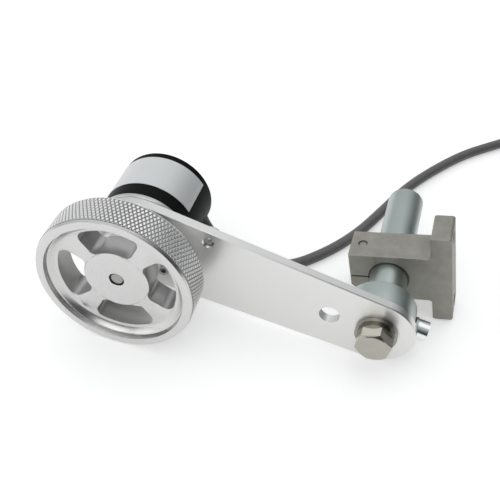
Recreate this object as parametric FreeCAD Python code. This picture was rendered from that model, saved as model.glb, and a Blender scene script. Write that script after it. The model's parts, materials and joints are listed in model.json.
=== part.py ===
import FreeCAD, Part
import math
import os

from FreeCAD import Vector

# Cable length counter: a measuring wheel on an incremental encoder, carried by a sprung arm.
#
# Everything is drawn in the arm's own frame, in millimetres. Its origin is on the wheel's axis,
# just behind the wheel's front face. X runs along the arm from the wheel's axis to the pivot's
# axis, Y runs along both axes from the wheel's front to the back, and Z is up.
# The clamp block is drawn in a frame of its own on the pivot's axis, turned by BLOCK_ANGLE.
# At the end every piece is turned and moved so that the wheel's rim and the foot's lower inner
# edge stand on Z = 0, with the origin at the middle of the bottom of the object.

# Measuring wheel
WHEEL_CIRCUMFERENCE = 200.0
WHEEL_R = WHEEL_CIRCUMFERENCE / (2 * math.pi)
WHEEL_FRONT = -1.6
WHEEL_W = 14.8
WHEEL_BACK = WHEEL_FRONT + WHEEL_W
WHEEL_BEVEL_R = 0.8
WHEEL_BEVEL_W = 1.0
RECESS_R = 28.0
COVE_START_R = 24.6
WEB_FRONT = 2.5
WEB_T = 9.0
BACK_RECESS_R = 27.8
BOSS_R = 12.9
BOSS_END = 20.0
BOSS_EDGE = 0.4
BORE_MOUTH = 0.8
WINDOW_COUNT = 4
WINDOW_IN_R = 13.2
WINDOW_OUT_R = 23.9
WINDOW_HALF_ANGLE = 33.0
WINDOW_FIRST_ANGLE = 18.0
WINDOW_CORNER_R = 2.0
SET_SCREW_R = 2.0
SET_SCREW_LENGTH = 6.0
SET_SCREW_Y = 16.0
SET_SCREW_ANGLES = (63.0, 153.0)

# Encoder shaft, bearings and code disc
SHAFT_R = 3.0
SHAFT_FRONT = 3.1
SHAFT_BACK = 50.2
SHAFT_COLLAR_R = 3.8
BEARING_R = 6.5
BEARING_W = 5.0
BEARING_IN_R = 4.1
BEARING_OUT_R = 5.5
BALL_R = 1.1
BALL_COUNT = 7
FRONT_BEARING_Y = 27.0
REAR_BEARING_Y = 38.0
CIRCLIP_T = 0.6
CIRCLIP_GROOVE = 0.3
DISC_R = 13.8
DISC_T = 0.8
DISC_Y = 47.5
DISC_HUB_R = 7.0
DISC_HUB_FRONT = 44.6
DISC_SPIGOT_R = 5.0

# Encoder housing
FLANGE_R = 19.8
FLANGE_T = 1.6
PILOT_R = 10.0
SPIGOT_R = 18.2
SPIGOT_END = 36.0
NOSE_R = 14.3
NOSE_END = 44.0
COVER_WALL = 1.5
ENCODER_END = 59.4
COVER_ROUND = 1.2
LABEL_T = 0.18
LABEL_Y0 = 37.4
LABEL_Y1 = 55.6
LABEL_ANGLE0 = 42.5
LABEL_ANGLE1 = 214.0
PILLAR_CIRCLE_R = 16.2
PILLAR_R = 1.4
BOARD_R = 17.9
BOARD_Y = 51.5
BOARD_T = 1.6
OPTICS_R = 10.8
COVER_SCREW_TURN = 20.0
COVER_SCREW_R = 1.0
COVER_SCREW_HEAD_R = 1.9
COVER_SCREW_HEAD = 1.0

# Cable gland on the side of the cover
GLAND_ANGLE = -20.0
GLAND_Y = 50.0
GLAND_NECK_R = 4.0
GLAND_BASE_R = 8.6
GLAND_BASE_SINK = 2.4
GLAND_WAIST_R = 4.8
GLAND_WAIST_END = 25.5
GLAND_TIP_R = 3.4
GLAND_END = 33.0
GLAND_RIBS = 3

# Arm
ARM_FRONT = 25.2
ARM_T = 4.0
ARM_BACK = ARM_FRONT + ARM_T
ARM_LENGTH = 101.0
ARM_R_WHEEL = 19.5
ARM_R_PIVOT = 15.5
ARM_EDGE = 0.4
SPARE_HOLE_X = 81.2
SPARE_HOLE_R = 4.2
PLATE_SCREW_X = 27.0
PLATE_SCREW_Z = 13.3
ENCODER_SCREW_CIRCLE_R = 15.0
ENCODER_SCREW_ANGLES = (90.0, 210.0, 330.0)

# Pivot: journal in a bush, spring housing, fastenings
JOURNAL_R = 6.0
JOURNAL_FRONT = 25.1
BUSH_R = 7.0
BOLT_R = 4.0
BOLT_FLATS = 13.0
BOLT_HEAD = 5.3
BOLT_END = 40.0
BOLT_TURN = -2.0
FLAT_WASHER_R = 8.5
FLAT_WASHER_T = 1.6
LOCK_WASHER_R = 7.3
LOCK_WASHER_T = 1.6
HOUSING_R = 14.2
HOUSING_FRONT = 29.3
HOUSING_BACK = 41.0
HOUSING_EDGE = 1.0
CAVITY_R = 11.0
CAVITY_BACK = 38.2
POST_R = 8.0
POST_END = 111.5
POST_EDGE = 1.0
STOP_PIN_R = 1.0
STOP_CIRCLE_R = 12.6
STOP_ANGLE = 140.0
SWING_DEG = 50.0
SPRING_R = 8.6
SPRING_WIRE_R = 0.8
SPRING_PITCH = 1.9
SPRING_Y0 = 31.2
SPRING_QUARTERS = 10
SPRING_END_ANGLE = -21.0
ANCHOR_Y = 35.6
ANCHOR_SEAT = 13.9
ANCHOR_WASHER_T = 1.1
ANCHOR_TIP = 9.9

# Clamp block, in its own frame on the pivot's axis
BLOCK_ANGLE = 23.7
BLOCK_FRONT = 57.5
BLOCK_DEPTH = 16.0
BLOCK_LEFT = -16.5
BLOCK_HALF = 11.75
JAW_BOTTOM = -6.8
JAW_STEP_X = -7.4
FOOT_IN = 17.75
FOOT_OUT = 26.25
FOOT_HALF = 22.5
FOOT_ROUND = 1.2
FOOT_FILLET = 1.5
BLOCK_EDGE = 0.35
BORE_CLEARANCE = 0.05
SLIT = 0.8
CLAMP_SCREW_X = -11.5
CLAMP_SCREW_R = 2.0
FOOT_HOLE_R = 2.75
FOOT_HOLE_Z = 17.2

# Signal cable, its unseen length wound up behind the object, and its bare end
CABLE_R = 2.5
COIL_CENTRE = (148.6, 135.1)
COIL_OUT_R = 40.0
COIL_PITCH = 5.6
COIL_LAYER = 5.6
COIL_START_ANGLE = 130.0
COIL_DOWN_TURNS = 3.75
COIL_CLIMB_TURNS = 0.5
COIL_UP_TURNS = 3.0
CORE_R = 0.6
CORE_COUNT = 5
CORE_LENGTH = 30.0
CORE_STEP = 0.85
CORE_SPLAY = 2.2

CORD_NODES = ("signal_cable", "cable_coil", "lead_wires")

# Fit between pieces that are fastened to each other
SEAT = 0.02

Y_AXIS = Vector(0, 1, 0)


def rad(degrees):
    return math.radians(degrees)


def polar(radius, degrees, y):
    """A point at a radius and an angle about a Y axis, the angle turning from X to Z."""
    return Vector(radius * math.cos(rad(degrees)), y, radius * math.sin(rad(degrees)))


def rod(radius, y0, y1, x=0.0, z=0.0):
    """A cylinder along Y."""
    return Part.makeCylinder(radius, y1 - y0, Vector(x, y0, z), Y_AXIS)


def ring(inner, outer, y0, y1, x=0.0, z=0.0):
    """A plain ring along Y."""
    return rod(outer, y0, y1, x, z).cut(rod(inner, y0 - 1, y1 + 1, x, z))


def turned(points):
    """A solid turned about the Y axis from (radius, y) points joined by straight lines."""
    outline = [Vector(r, y, 0) for r, y in points]
    face = Part.Face(Part.makePolygon(outline + outline[:1]))
    return face.revolve(Vector(0, 0, 0), Y_AXIS, 360)


def hexagon(flats, y0, y1, turn=0.0):
    """A hexagonal prism along Y, with one flat facing the angle given by turn."""
    corner_r = flats / math.sqrt(3)
    corners = [polar(corner_r, turn + 30 + 60 * i, y0) for i in range(6)]
    face = Part.Face(Part.makePolygon(corners + corners[:1]))
    return face.extrude(Vector(0, y1 - y0, 0))


def along(shape, point, direction):
    """Moves a shape drawn along +Y from the origin so that it starts at point and runs in direction."""
    turn = FreeCAD.Rotation(Y_AXIS, direction)
    moved = shape.copy()
    moved.Placement = FreeCAD.Placement(point, turn).multiply(moved.Placement)
    return moved


def socket_screw(radius, length, head_r, head_h, key):
    """A socket head cap screw along +Y: its tip at 0, its seat at length, its head beyond."""
    shank = turned([(0, 0), (radius * 0.75, 0), (radius, radius * 0.25), (radius, length), (0, length)])
    head_end = length + head_h
    bevel = head_r * 0.08
    head = turned([(0, length), (head_r, length), (head_r, head_end - bevel),
                   (head_r - bevel, head_end), (0, head_end)])
    socket = hexagon(key, head_end - head_h * 0.55, head_end + 1)
    return shank.fuse(head).cut(socket).removeSplitter()


def arc_by_corner(start, corner, end):
    """The arc from start to end that is tangent to the lines from both to the corner."""
    middle = (start + end) * 0.5
    rise = corner - middle
    half = (end - start).Length / 2
    turn = math.atan2(rise.Length, half)
    top = middle + rise.normalize() * (half * math.tan(turn / 2))
    return Part.Arc(start, top, end).toShape()


def biarc(p0, t0, p1, t1):
    """Two tangent arcs that leave p0 along t0 and reach p1 along t1."""
    span = p1 - p0
    slack = 2 * (1 - t0.dot(t1))
    both = span.dot(t0 + t1)
    reach = (math.sqrt(both * both + slack * span.dot(span)) - both) / slack
    corner0 = p0 + t0 * reach
    corner1 = p1 - t1 * reach
    meet = (corner0 + corner1) * 0.5
    return [arc_by_corner(p0, corner0, meet), arc_by_corner(meet, corner1, p1)]


def tube(edges, start, direction, radius):
    """A round tube that follows tangent edges from start, where the path runs in direction."""
    circle = Part.Wire(Part.makeCircle(radius, start, direction))
    return Part.Wire(edges).makePipeShell([circle], True, False)


# Measuring wheel

def wheel_window(angle):
    """One bean-shaped window: a ring sector with rounded corners."""
    first = angle - WINDOW_HALF_ANGLE
    last = angle + WINDOW_HALF_ANGLE
    inner = [polar(WINDOW_IN_R, a, WHEEL_FRONT) for a in (first, angle, last)]
    outer = [polar(WINDOW_OUT_R, a, WHEEL_FRONT) for a in (first, angle, last)]
    wire = Part.Wire([
        Part.Arc(inner[0], inner[1], inner[2]).toShape(),
        Part.makeLine(inner[2], outer[2]),
        Part.Arc(outer[2], outer[1], outer[0]).toShape(),
        Part.makeLine(outer[0], inner[0]),
    ])
    prism = Part.Face(wire).extrude(Vector(0, WHEEL_W, 0))
    corners = [e for e in prism.Edges
               if abs(e.Vertexes[0].Point.y - e.Vertexes[-1].Point.y) > 1]
    return prism.makeFillet(WINDOW_CORNER_R, corners)


def measuring_wheel():
    """Turned body: front ring, cove down to a thick web, boss behind; then windows and screw holes."""
    web_back = WEB_FRONT + WEB_T
    cove_r = RECESS_R - COVE_START_R
    cove_mid = Vector(COVE_START_R + cove_r * math.sin(rad(45)),
                      WEB_FRONT - cove_r * (1 - math.cos(rad(45))), 0)
    rim_r = WHEEL_R - WHEEL_BEVEL_R
    bore_r = SHAFT_R + SEAT
    outline = [
        (RECESS_R, WEB_FRONT - cove_r), (RECESS_R, WHEEL_FRONT), (rim_r, WHEEL_FRONT),
        (WHEEL_R, WHEEL_FRONT + WHEEL_BEVEL_W), (WHEEL_R, WHEEL_BACK - WHEEL_BEVEL_W),
        (rim_r, WHEEL_BACK), (BACK_RECESS_R, WHEEL_BACK), (BACK_RECESS_R - 1.0, web_back),
        (BOSS_R, web_back), (BOSS_R, BOSS_END - BOSS_EDGE), (BOSS_R - BOSS_EDGE, BOSS_END),
        (bore_r + BOSS_EDGE, BOSS_END), (bore_r, BOSS_END - BOSS_EDGE),
        (bore_r, WEB_FRONT + BORE_MOUTH), (bore_r + BORE_MOUTH, WEB_FRONT),
        (COVE_START_R, WEB_FRONT),
    ]
    points = [Vector(r, y, 0) for r, y in outline]
    edges = [Part.makeLine(a, b) for a, b in zip(points, points[1:])]
    edges.append(Part.Arc(points[-1], cove_mid, points[0]).toShape())
    wheel = Part.Face(Part.Wire(edges)).revolve(Vector(0, 0, 0), Y_AXIS, 360)
    step = 360.0 / WINDOW_COUNT
    for i in range(WINDOW_COUNT):
        wheel = wheel.cut(wheel_window(WINDOW_FIRST_ANGLE + i * step))
    for angle in SET_SCREW_ANGLES:
        hole = Part.makeCylinder(SET_SCREW_R + SEAT, BOSS_R, polar(0, 0, SET_SCREW_Y),
                                 polar(1, angle, 0))
        wheel = wheel.cut(hole)
    return wheel


def wheel_set_screws():
    """Two grub screws in the boss, a quarter turn apart, that bear on the encoder's shaft."""
    screws = []
    for angle in SET_SCREW_ANGLES:
        body = turned([(0, 0), (SET_SCREW_R * 0.7, 0), (SET_SCREW_R, 0.6),
                       (SET_SCREW_R, SET_SCREW_LENGTH), (0, SET_SCREW_LENGTH)])
        body = body.cut(hexagon(2.0, SET_SCREW_LENGTH - 2.5, SET_SCREW_LENGTH + 1))
        screws.append(along(body, polar(SHAFT_R + SEAT, angle, SET_SCREW_Y), polar(1, angle, 0)))
    return screws


# Encoder

def encoder_shaft():
    collar0 = FRONT_BEARING_Y + BEARING_W
    edge = 0.35
    return turned([
        (0, SHAFT_FRONT), (SHAFT_R - edge, SHAFT_FRONT), (SHAFT_R, SHAFT_FRONT + edge),
        (SHAFT_R, collar0), (SHAFT_COLLAR_R, collar0), (SHAFT_COLLAR_R, REAR_BEARING_Y),
        (SHAFT_R, REAR_BEARING_Y), (SHAFT_R, SHAFT_BACK - edge),
        (SHAFT_R - edge, SHAFT_BACK), (0, SHAFT_BACK),
    ])


def race_groove(y):
    """The ring that the balls' track cuts out of both rings of a bearing."""
    middle = Vector((BEARING_IN_R + BEARING_OUT_R) / 2, y + BEARING_W / 2, 0)
    circle = Part.Wire(Part.makeCircle(BALL_R + 0.05, middle, Vector(0, 0, 1)))
    return Part.Face(circle).revolve(Vector(0, 0, 0), Y_AXIS, 360)


def bearing_inner(y):
    return ring(SHAFT_R + SEAT, BEARING_IN_R, y, y + BEARING_W).cut(race_groove(y))


def bearing_outer(y):
    return ring(BEARING_OUT_R, BEARING_R, y, y + BEARING_W).cut(race_groove(y))


def bearing_balls(y):
    track_r = (BEARING_IN_R + BEARING_OUT_R) / 2
    step = 360.0 / BALL_COUNT
    return [Part.makeSphere(BALL_R, polar(track_r, i * step, y + BEARING_W / 2))
            for i in range(BALL_COUNT)]


def bearing_circlip():
    """Sprung ring with a gap, in a groove of the flange in front of the front bearing."""
    y0 = FRONT_BEARING_Y - CIRCLIP_T
    clip = ring(BEARING_OUT_R, BEARING_R + CIRCLIP_GROOVE, y0, FRONT_BEARING_Y)
    gap = Part.makeBox(3, 2, 3, Vector(-1.5, y0 - 0.5, BEARING_R - 2))
    return clip.cut(gap)


def code_disc_hub():
    return turned([
        (SHAFT_R + SEAT, DISC_HUB_FRONT), (DISC_HUB_R, DISC_HUB_FRONT), (DISC_HUB_R, DISC_Y),
        (DISC_SPIGOT_R, DISC_Y), (DISC_SPIGOT_R, DISC_Y + DISC_T + 0.6),
        (SHAFT_R + SEAT, DISC_Y + DISC_T + 0.6),
    ])


def code_disc():
    return ring(DISC_SPIGOT_R + SEAT, DISC_R, DISC_Y, DISC_Y + DISC_T)


def encoder_flange():
    """Turned body: pilot in the arm, visible disc, cover spigot and the nose that holds the bearings."""
    disc_end = ARM_BACK + FLANGE_T
    shoulder0 = FRONT_BEARING_Y + BEARING_W
    clip_y0 = FRONT_BEARING_Y - CIRCLIP_T
    clip_r = BEARING_R + CIRCLIP_GROOVE
    bore_r = BEARING_R + SEAT
    front = ARM_FRONT + 0.4
    body = turned([
        (bore_r, front), (PILOT_R, front), (PILOT_R, ARM_BACK), (FLANGE_R - 0.3, ARM_BACK),
        (FLANGE_R, ARM_BACK + 0.3), (FLANGE_R, disc_end), (SPIGOT_R, disc_end),
        (SPIGOT_R, SPIGOT_END), (NOSE_R, SPIGOT_END), (NOSE_R, NOSE_END), (bore_r, NOSE_END),
        (bore_r, REAR_BEARING_Y), (BEARING_OUT_R, REAR_BEARING_Y), (BEARING_OUT_R, shoulder0),
        (bore_r, shoulder0), (bore_r, FRONT_BEARING_Y), (clip_r, FRONT_BEARING_Y),
        (clip_r, clip_y0), (bore_r, clip_y0),
    ])
    for angle in ENCODER_SCREW_ANGLES:
        at = polar(ENCODER_SCREW_CIRCLE_R, angle, 0)
        body = body.cut(rod(1.5 + SEAT, ARM_BACK - 1, SPIGOT_END + 1, at.x, at.z))
    return body


def encoder_screws():
    """Three cap screws from the arm's front into the flange."""
    screws = []
    for angle in ENCODER_SCREW_ANGLES:
        at = polar(ENCODER_SCREW_CIRCLE_R, angle, ARM_FRONT + 9.0)
        screws.append(along(socket_screw(1.5, 9.0, 2.75, 3.0, 2.5), at, Vector(0, -1, 0)))
    return screws


def pillar_angles():
    return [90 + COVER_SCREW_TURN + 120 * i for i in range(3)]


def board_pillars():
    """Three posts on the flange that carry the sensor board and take the cover's screws."""
    posts = []
    for angle in pillar_angles():
        at = polar(PILLAR_CIRCLE_R, angle, 0)
        posts.append(ring(COVER_SCREW_R + SEAT, PILLAR_R, SPIGOT_END, BOARD_Y, at.x, at.z))
    return posts


def sensor_board():
    board = rod(BOARD_R, BOARD_Y, BOARD_Y + BOARD_T)
    for angle in pillar_angles():
        at = polar(PILLAR_CIRCLE_R, angle, 0)
        board = board.cut(rod(COVER_SCREW_R + 0.1, BOARD_Y - 1, BOARD_Y + 3, at.x, at.z))
    return board


def light_source():
    """Lamp block on the nose, in front of the disc."""
    return Part.makeBox(6, DISC_Y - 0.4 - NOSE_END, 5, Vector(-3, NOSE_END, OPTICS_R - 2.5))


def photo_sensor():
    """Receiver on the board, behind the disc."""
    front = DISC_Y + DISC_T + 0.4
    return Part.makeBox(6, BOARD_Y - front, 5, Vector(-3, front, OPTICS_R - 2.5))


def encoder_cover():
    inner_r = FLANGE_R - COVER_WALL
    front = ARM_BACK + FLANGE_T
    outer = rod(FLANGE_R, front, ENCODER_END)
    rim = [e for e in outer.Edges
           if abs(e.BoundBox.YMin - ENCODER_END) < 1e-6 and e.BoundBox.YLength < 1e-6]
    outer = outer.makeFillet(COVER_ROUND, rim)
    cover = outer.cut(rod(inner_r, front - 1, ENCODER_END - COVER_WALL))
    for angle in pillar_angles():
        at = polar(PILLAR_CIRCLE_R, angle, 0)
        cover = cover.cut(rod(COVER_SCREW_R + 0.1, ENCODER_END - 3, ENCODER_END + 1, at.x, at.z))
        cover = cover.cut(rod(COVER_SCREW_HEAD_R + 0.1, ENCODER_END - COVER_SCREW_HEAD,
                              ENCODER_END + 1, at.x, at.z))
    return cover.cut(Part.makeCylinder(GLAND_NECK_R + SEAT, FLANGE_R + 5,
                                       Vector(0, GLAND_Y, 0), polar(1, GLAND_ANGLE, 0)))


def cover_screws():
    screws = []
    tip = BOARD_Y - 5
    seat = ENCODER_END - COVER_SCREW_HEAD
    for angle in pillar_angles():
        body = turned([(0, tip), (COVER_SCREW_R, tip), (COVER_SCREW_R, seat),
                       (COVER_SCREW_HEAD_R, seat), (COVER_SCREW_HEAD_R, ENCODER_END - 0.3),
                       (COVER_SCREW_HEAD_R - 0.3, ENCODER_END - 0.05), (0, ENCODER_END - 0.05)])
        slot = Part.makeBox(5, 2, 0.5, Vector(-2.5, ENCODER_END - 0.6, -0.25))
        at = polar(PILLAR_CIRCLE_R, angle, 0)
        screws.append(body.cut(slot).translate(at))
    return screws


def encoder_label():
    """Thin bare wrap on the cover, open over the side where the cable leaves."""
    wrap = ring(FLANGE_R + 0.005, FLANGE_R + LABEL_T, LABEL_Y0, LABEL_Y1)
    reach = FLANGE_R * 3
    middle = (LABEL_ANGLE0 + LABEL_ANGLE1) / 2
    corners = [Vector(0, 0, 0)] + [polar(reach, a, 0) for a in (LABEL_ANGLE0, middle, LABEL_ANGLE1)]
    wedge = Part.Face(Part.makePolygon(corners + corners[:1])).extrude(Vector(0, ENCODER_END, 0))
    return wrap.common(wedge)


def cable_gland():
    """Moulded strain relief: flared foot on the cover, then a ribbed sleeve tapering to the cable.

    The foot starts below the cover's surface and is cut to its curve, so its rim lies on it.
    """
    start = FLANGE_R - GLAND_BASE_SINK
    waist = GLAND_WAIST_END - start
    tip = GLAND_END - start
    flare = Part.Arc(Vector(GLAND_BASE_R, 0, 0),
                     Vector((GLAND_BASE_R + GLAND_WAIST_R) / 2 - 0.5, waist / 2, 0),
                     Vector(GLAND_WAIST_R, waist, 0)).toShape()
    points = [(GLAND_WAIST_R, waist)]
    rib = (tip - waist) / GLAND_RIBS
    for i in range(GLAND_RIBS):
        rib_r = GLAND_WAIST_R - 0.3 + (GLAND_TIP_R - GLAND_WAIST_R) * i / (GLAND_RIBS - 1)
        at = waist + rib * i
        points += [(rib_r - 0.5, at), (rib_r - 0.5, at + rib * 0.3), (rib_r, at + rib * 0.4)]
        points.append((rib_r - 0.2, at + rib))
    points += [(0, tip), (0, 0), (GLAND_BASE_R, 0)]
    corners = [Vector(r, y, 0) for r, y in points]
    edges = [flare] + [Part.makeLine(a, b) for a, b in zip(corners, corners[1:])]
    body = Part.Face(Part.Wire(edges)).revolve(Vector(0, 0, 0), Y_AXIS, 360)
    gland = along(body, polar(start, GLAND_ANGLE, GLAND_Y), polar(1, GLAND_ANGLE, 0))
    shell = rod(FLANGE_R, GLAND_Y - 10, GLAND_Y + 10)
    neck = Part.makeCylinder(GLAND_NECK_R, COVER_WALL + 1.5,
                             polar(FLANGE_R - COVER_WALL, GLAND_ANGLE, GLAND_Y),
                             polar(1, GLAND_ANGLE, 0))
    return gland.cut(shell).fuse(neck).removeSplitter()


# Arm

def arm_outline(margin):
    """Closed wire round both ends of the tapered arm, drawn in by margin."""
    r0 = ARM_R_WHEEL - margin
    r1 = ARM_R_PIVOT - margin
    lean = math.degrees(math.asin((r0 - r1) / ARM_LENGTH))
    upper = 90 - lean
    pivot = Vector(ARM_LENGTH, 0, 0)
    a = polar(r0, upper, 0)
    b = polar(r0, 180, 0)
    c = polar(r0, -upper, 0)
    d = pivot + polar(r1, -upper, 0)
    e = pivot + polar(r1, 0, 0)
    f = pivot + polar(r1, upper, 0)
    return Part.Wire([Part.Arc(a, b, c).toShape(), Part.makeLine(c, d),
                      Part.Arc(d, e, f).toShape(), Part.makeLine(f, a)])


def arm_plate():
    """Flat bar with round ends and bevelled edges: a plain slab with a loft on each face."""
    def wire_at(margin, y):
        wire = arm_outline(margin)
        wire.translate(Vector(0, y, 0))
        return wire

    full0 = wire_at(0, ARM_FRONT + ARM_EDGE)
    slab = Part.Face(full0).extrude(Vector(0, ARM_T - 2 * ARM_EDGE, 0))
    front = Part.makeLoft([wire_at(ARM_EDGE, ARM_FRONT), full0], True, True)
    back = Part.makeLoft([wire_at(0, ARM_BACK - ARM_EDGE), wire_at(ARM_EDGE, ARM_BACK)], True, True)
    plate = slab.fuse([front, back]).removeSplitter()

    y0 = ARM_FRONT - 1
    y1 = ARM_BACK + 1
    holes = [
        rod(PILOT_R + SEAT, y0, y1),
        rod(BUSH_R, y0, y1, ARM_LENGTH),
        rod(SPARE_HOLE_R, y0, y1, SPARE_HOLE_X),
        rod(2.0 + SEAT, y0, y1, PLATE_SCREW_X, PLATE_SCREW_Z),
        Part.makeCone(2.6, 2.0, 0.6, Vector(PLATE_SCREW_X, ARM_FRONT, PLATE_SCREW_Z), Y_AXIS),
    ]
    for angle in ENCODER_SCREW_ANGLES:
        at = polar(ENCODER_SCREW_CIRCLE_R, angle, 0)
        holes.append(rod(1.6, y0, y1, at.x, at.z))
    pin = polar(STOP_CIRCLE_R, STOP_ANGLE, 0)
    holes.append(rod(STOP_PIN_R + SEAT, ARM_BACK - 3, y1, ARM_LENGTH + pin.x, pin.z))
    leg = polar(SPRING_R, spring_start_angle(), 0)
    holes.append(rod(SPRING_WIRE_R + 0.2, ARM_BACK - 3, y1, ARM_LENGTH + leg.x, leg.z))
    for hole in holes:
        plate = plate.cut(hole)
    return plate


def plate_screw():
    """Screw put in from behind the arm: its end stands in the front hole, its head on the back."""
    end = ARM_FRONT + 0.7
    head_r = 4.0
    head_h = 2.8
    seat = ARM_BACK
    body = turned([(0, end), (1.5, end), (2.0, end + 0.5), (2.0, seat), (head_r, seat),
                   (head_r, seat + head_h * 0.5), (head_r * 0.75, seat + head_h * 0.9),
                   (head_r * 0.4, seat + head_h), (0, seat + head_h)])
    slot = Part.makeBox(10, 2, 1.0, Vector(-5, seat + head_h - 1.2, -0.5))
    return body.cut(slot).translate(Vector(PLATE_SCREW_X, 0, PLATE_SCREW_Z))


def pivot_bush():
    return ring(JOURNAL_R + 0.03, BUSH_R - 0.01, ARM_FRONT, ARM_BACK, ARM_LENGTH)


def stop_pin():
    """Dowel in the arm's back that runs in the curved slot of the spring housing."""
    at = polar(STOP_CIRCLE_R, STOP_ANGLE, 0)
    return rod(STOP_PIN_R, ARM_BACK - 3, HOUSING_FRONT + 2.4, ARM_LENGTH + at.x, at.z)


# Pivot, drawn about its own axis and moved to the arm's end

def pivot_post():
    """Steel post: journal for the arm, seat for the spring housing, long rod for the clamp."""
    return turned([
        (BOLT_R + SEAT, JOURNAL_FRONT), (JOURNAL_R - 0.3, JOURNAL_FRONT),
        (JOURNAL_R, JOURNAL_FRONT + 0.3), (JOURNAL_R, HOUSING_BACK), (POST_R, HOUSING_BACK),
        (POST_R, POST_END - POST_EDGE), (POST_R - POST_EDGE, POST_END), (0, POST_END),
        (0, BOLT_END + 3), (BOLT_R + SEAT, BOLT_END + 1),
    ])


def curved_slot(centre_r, half_width, first, last, y0, y1):
    """A slot that follows a circle from one angle to another, with round ends."""
    def round_end(angle, toward):
        return polar(centre_r, angle, y0) + polar(half_width, angle + toward, 0)

    middle = (first + last) / 2
    outer = [polar(centre_r + half_width, a, y0) for a in (first, middle, last)]
    inner = [polar(centre_r - half_width, a, y0) for a in (last, middle, first)]
    wire = Part.Wire([
        Part.Arc(outer[0], outer[1], outer[2]).toShape(),
        Part.Arc(outer[2], round_end(last, 90), inner[0]).toShape(),
        Part.Arc(inner[0], inner[1], inner[2]).toShape(),
        Part.Arc(inner[2], round_end(first, -90), outer[0]).toShape(),
    ])
    return Part.Face(wire).extrude(Vector(0, y1 - y0, 0))


def spring_housing():
    """Cup round the torsion spring, with a curved stop slot in its rim and a flat for the screw."""
    cup = turned([
        (CAVITY_R, HOUSING_FRONT), (HOUSING_R - 0.3, HOUSING_FRONT),
        (HOUSING_R, HOUSING_FRONT + 0.3), (HOUSING_R, HOUSING_BACK - HOUSING_EDGE),
        (HOUSING_R - HOUSING_EDGE, HOUSING_BACK), (JOURNAL_R + SEAT, HOUSING_BACK),
        (JOURNAL_R + SEAT, CAVITY_BACK), (CAVITY_R, CAVITY_BACK),
    ])
    slot_r = STOP_PIN_R + 0.1
    play = math.degrees(0.1 / STOP_CIRCLE_R)
    cup = cup.cut(curved_slot(STOP_CIRCLE_R, slot_r, STOP_ANGLE - SWING_DEG - play,
                              STOP_ANGLE + play, HOUSING_FRONT - 1, HOUSING_FRONT + 3))
    x_axis = Vector(1, 0, 0)
    cup = cup.cut(Part.makeCylinder(2.5 + SEAT, HOUSING_R, Vector(CAVITY_R - 2, ANCHOR_Y, 0), x_axis))
    return cup.cut(Part.makeCylinder(4.7, 5, Vector(ANCHOR_SEAT, ANCHOR_Y, 0), x_axis))


def anchor_screw():
    """Cap screw through the housing's wall whose tip holds the spring's outer leg."""
    screw = socket_screw(2.5, ANCHOR_SEAT + ANCHOR_WASHER_T - ANCHOR_TIP, 4.25, 5.0, 4.0)
    return along(screw, Vector(ANCHOR_TIP, ANCHOR_Y, 0), Vector(1, 0, 0))


def split_ring(inner, outer, length, gap):
    """A ring from 0 to length along Y with a slanted gap, as on a spring washer."""
    washer = ring(inner, outer, 0, length)
    cutter = Part.makeBox(outer, length * 3, gap, Vector(0, -length, -gap / 2))
    cutter.rotate(Vector(0, length / 2, 0), Vector(1, 0, 0), 20)
    return washer.cut(cutter)


def anchor_washer():
    washer = split_ring(2.6, 4.5, ANCHOR_WASHER_T, 0.6)
    return along(washer, Vector(ANCHOR_SEAT, ANCHOR_Y, 0), Vector(1, 0, 0))


def lock_washer():
    """Spring washer under the pivot bolt's head."""
    y0 = JOURNAL_FRONT - FLAT_WASHER_T - LOCK_WASHER_T
    return split_ring(BOLT_R + 0.15, LOCK_WASHER_R, LOCK_WASHER_T, 0.8).translate(Vector(0, y0, 0))


def flat_washer():
    return ring(BOLT_R + 0.25, FLAT_WASHER_R, JOURNAL_FRONT - FLAT_WASHER_T, JOURNAL_FRONT)


def pivot_bolt():
    """Hexagon bolt whose head is turned round at the corners of its front face."""
    seat = JOURNAL_FRONT - FLAT_WASHER_T - LOCK_WASHER_T
    front = seat - BOLT_HEAD
    face_r = BOLT_FLATS / 2 * 0.94
    slope = math.tan(rad(30))
    reach = BOLT_FLATS
    dome = turned([(0, front), (face_r, front), (face_r + reach, front + reach * slope),
                   (face_r + reach, seat), (0, seat)])
    head = hexagon(BOLT_FLATS, front, seat, BOLT_TURN).common(dome)
    shank = turned([(0, seat), (BOLT_R, seat), (BOLT_R, BOLT_END - 0.8),
                    (BOLT_R - 0.8, BOLT_END), (0, BOLT_END)])
    return head.fuse(shank).removeSplitter()


def spring_start_angle():
    return SPRING_END_ANGLE - 90.0 * SPRING_QUARTERS


def torsion_spring():
    """Wire wound round the journal; one leg stands in the arm, the other rests on the screw's tip."""
    def point(i):
        angle = spring_start_angle() + 90.0 * i
        return polar(SPRING_R, angle, SPRING_Y0 + SPRING_PITCH * i / 4)

    def heading(i):
        angle = spring_start_angle() + 90.0 * i + 90.0
        rise = SPRING_PITCH / (2 * math.pi * SPRING_R)
        return (polar(1, angle, 0) + Vector(0, rise, 0)).normalize()

    edges = []
    for i in range(SPRING_QUARTERS):
        edges += biarc(point(i), heading(i), point(i + 1), heading(i + 1))
    coil = tube(edges, point(0), heading(0), SPRING_WIRE_R)
    start = point(0)
    end = point(SPRING_QUARTERS)
    arm_leg = rod(SPRING_WIRE_R, ARM_BACK - 2.5, start.y, start.x, start.z)
    end_ball = Part.makeSphere(SPRING_WIRE_R, start)
    outward = polar(1, SPRING_END_ANGLE, 0)
    screw_leg = Part.makeCylinder(SPRING_WIRE_R, 2.0, end, outward)
    other_ball = Part.makeSphere(SPRING_WIRE_R, end)
    return coil.fuse([arm_leg, end_ball, screw_leg, other_ball])


# Clamp block and its screw, drawn in the block's frame

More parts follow.
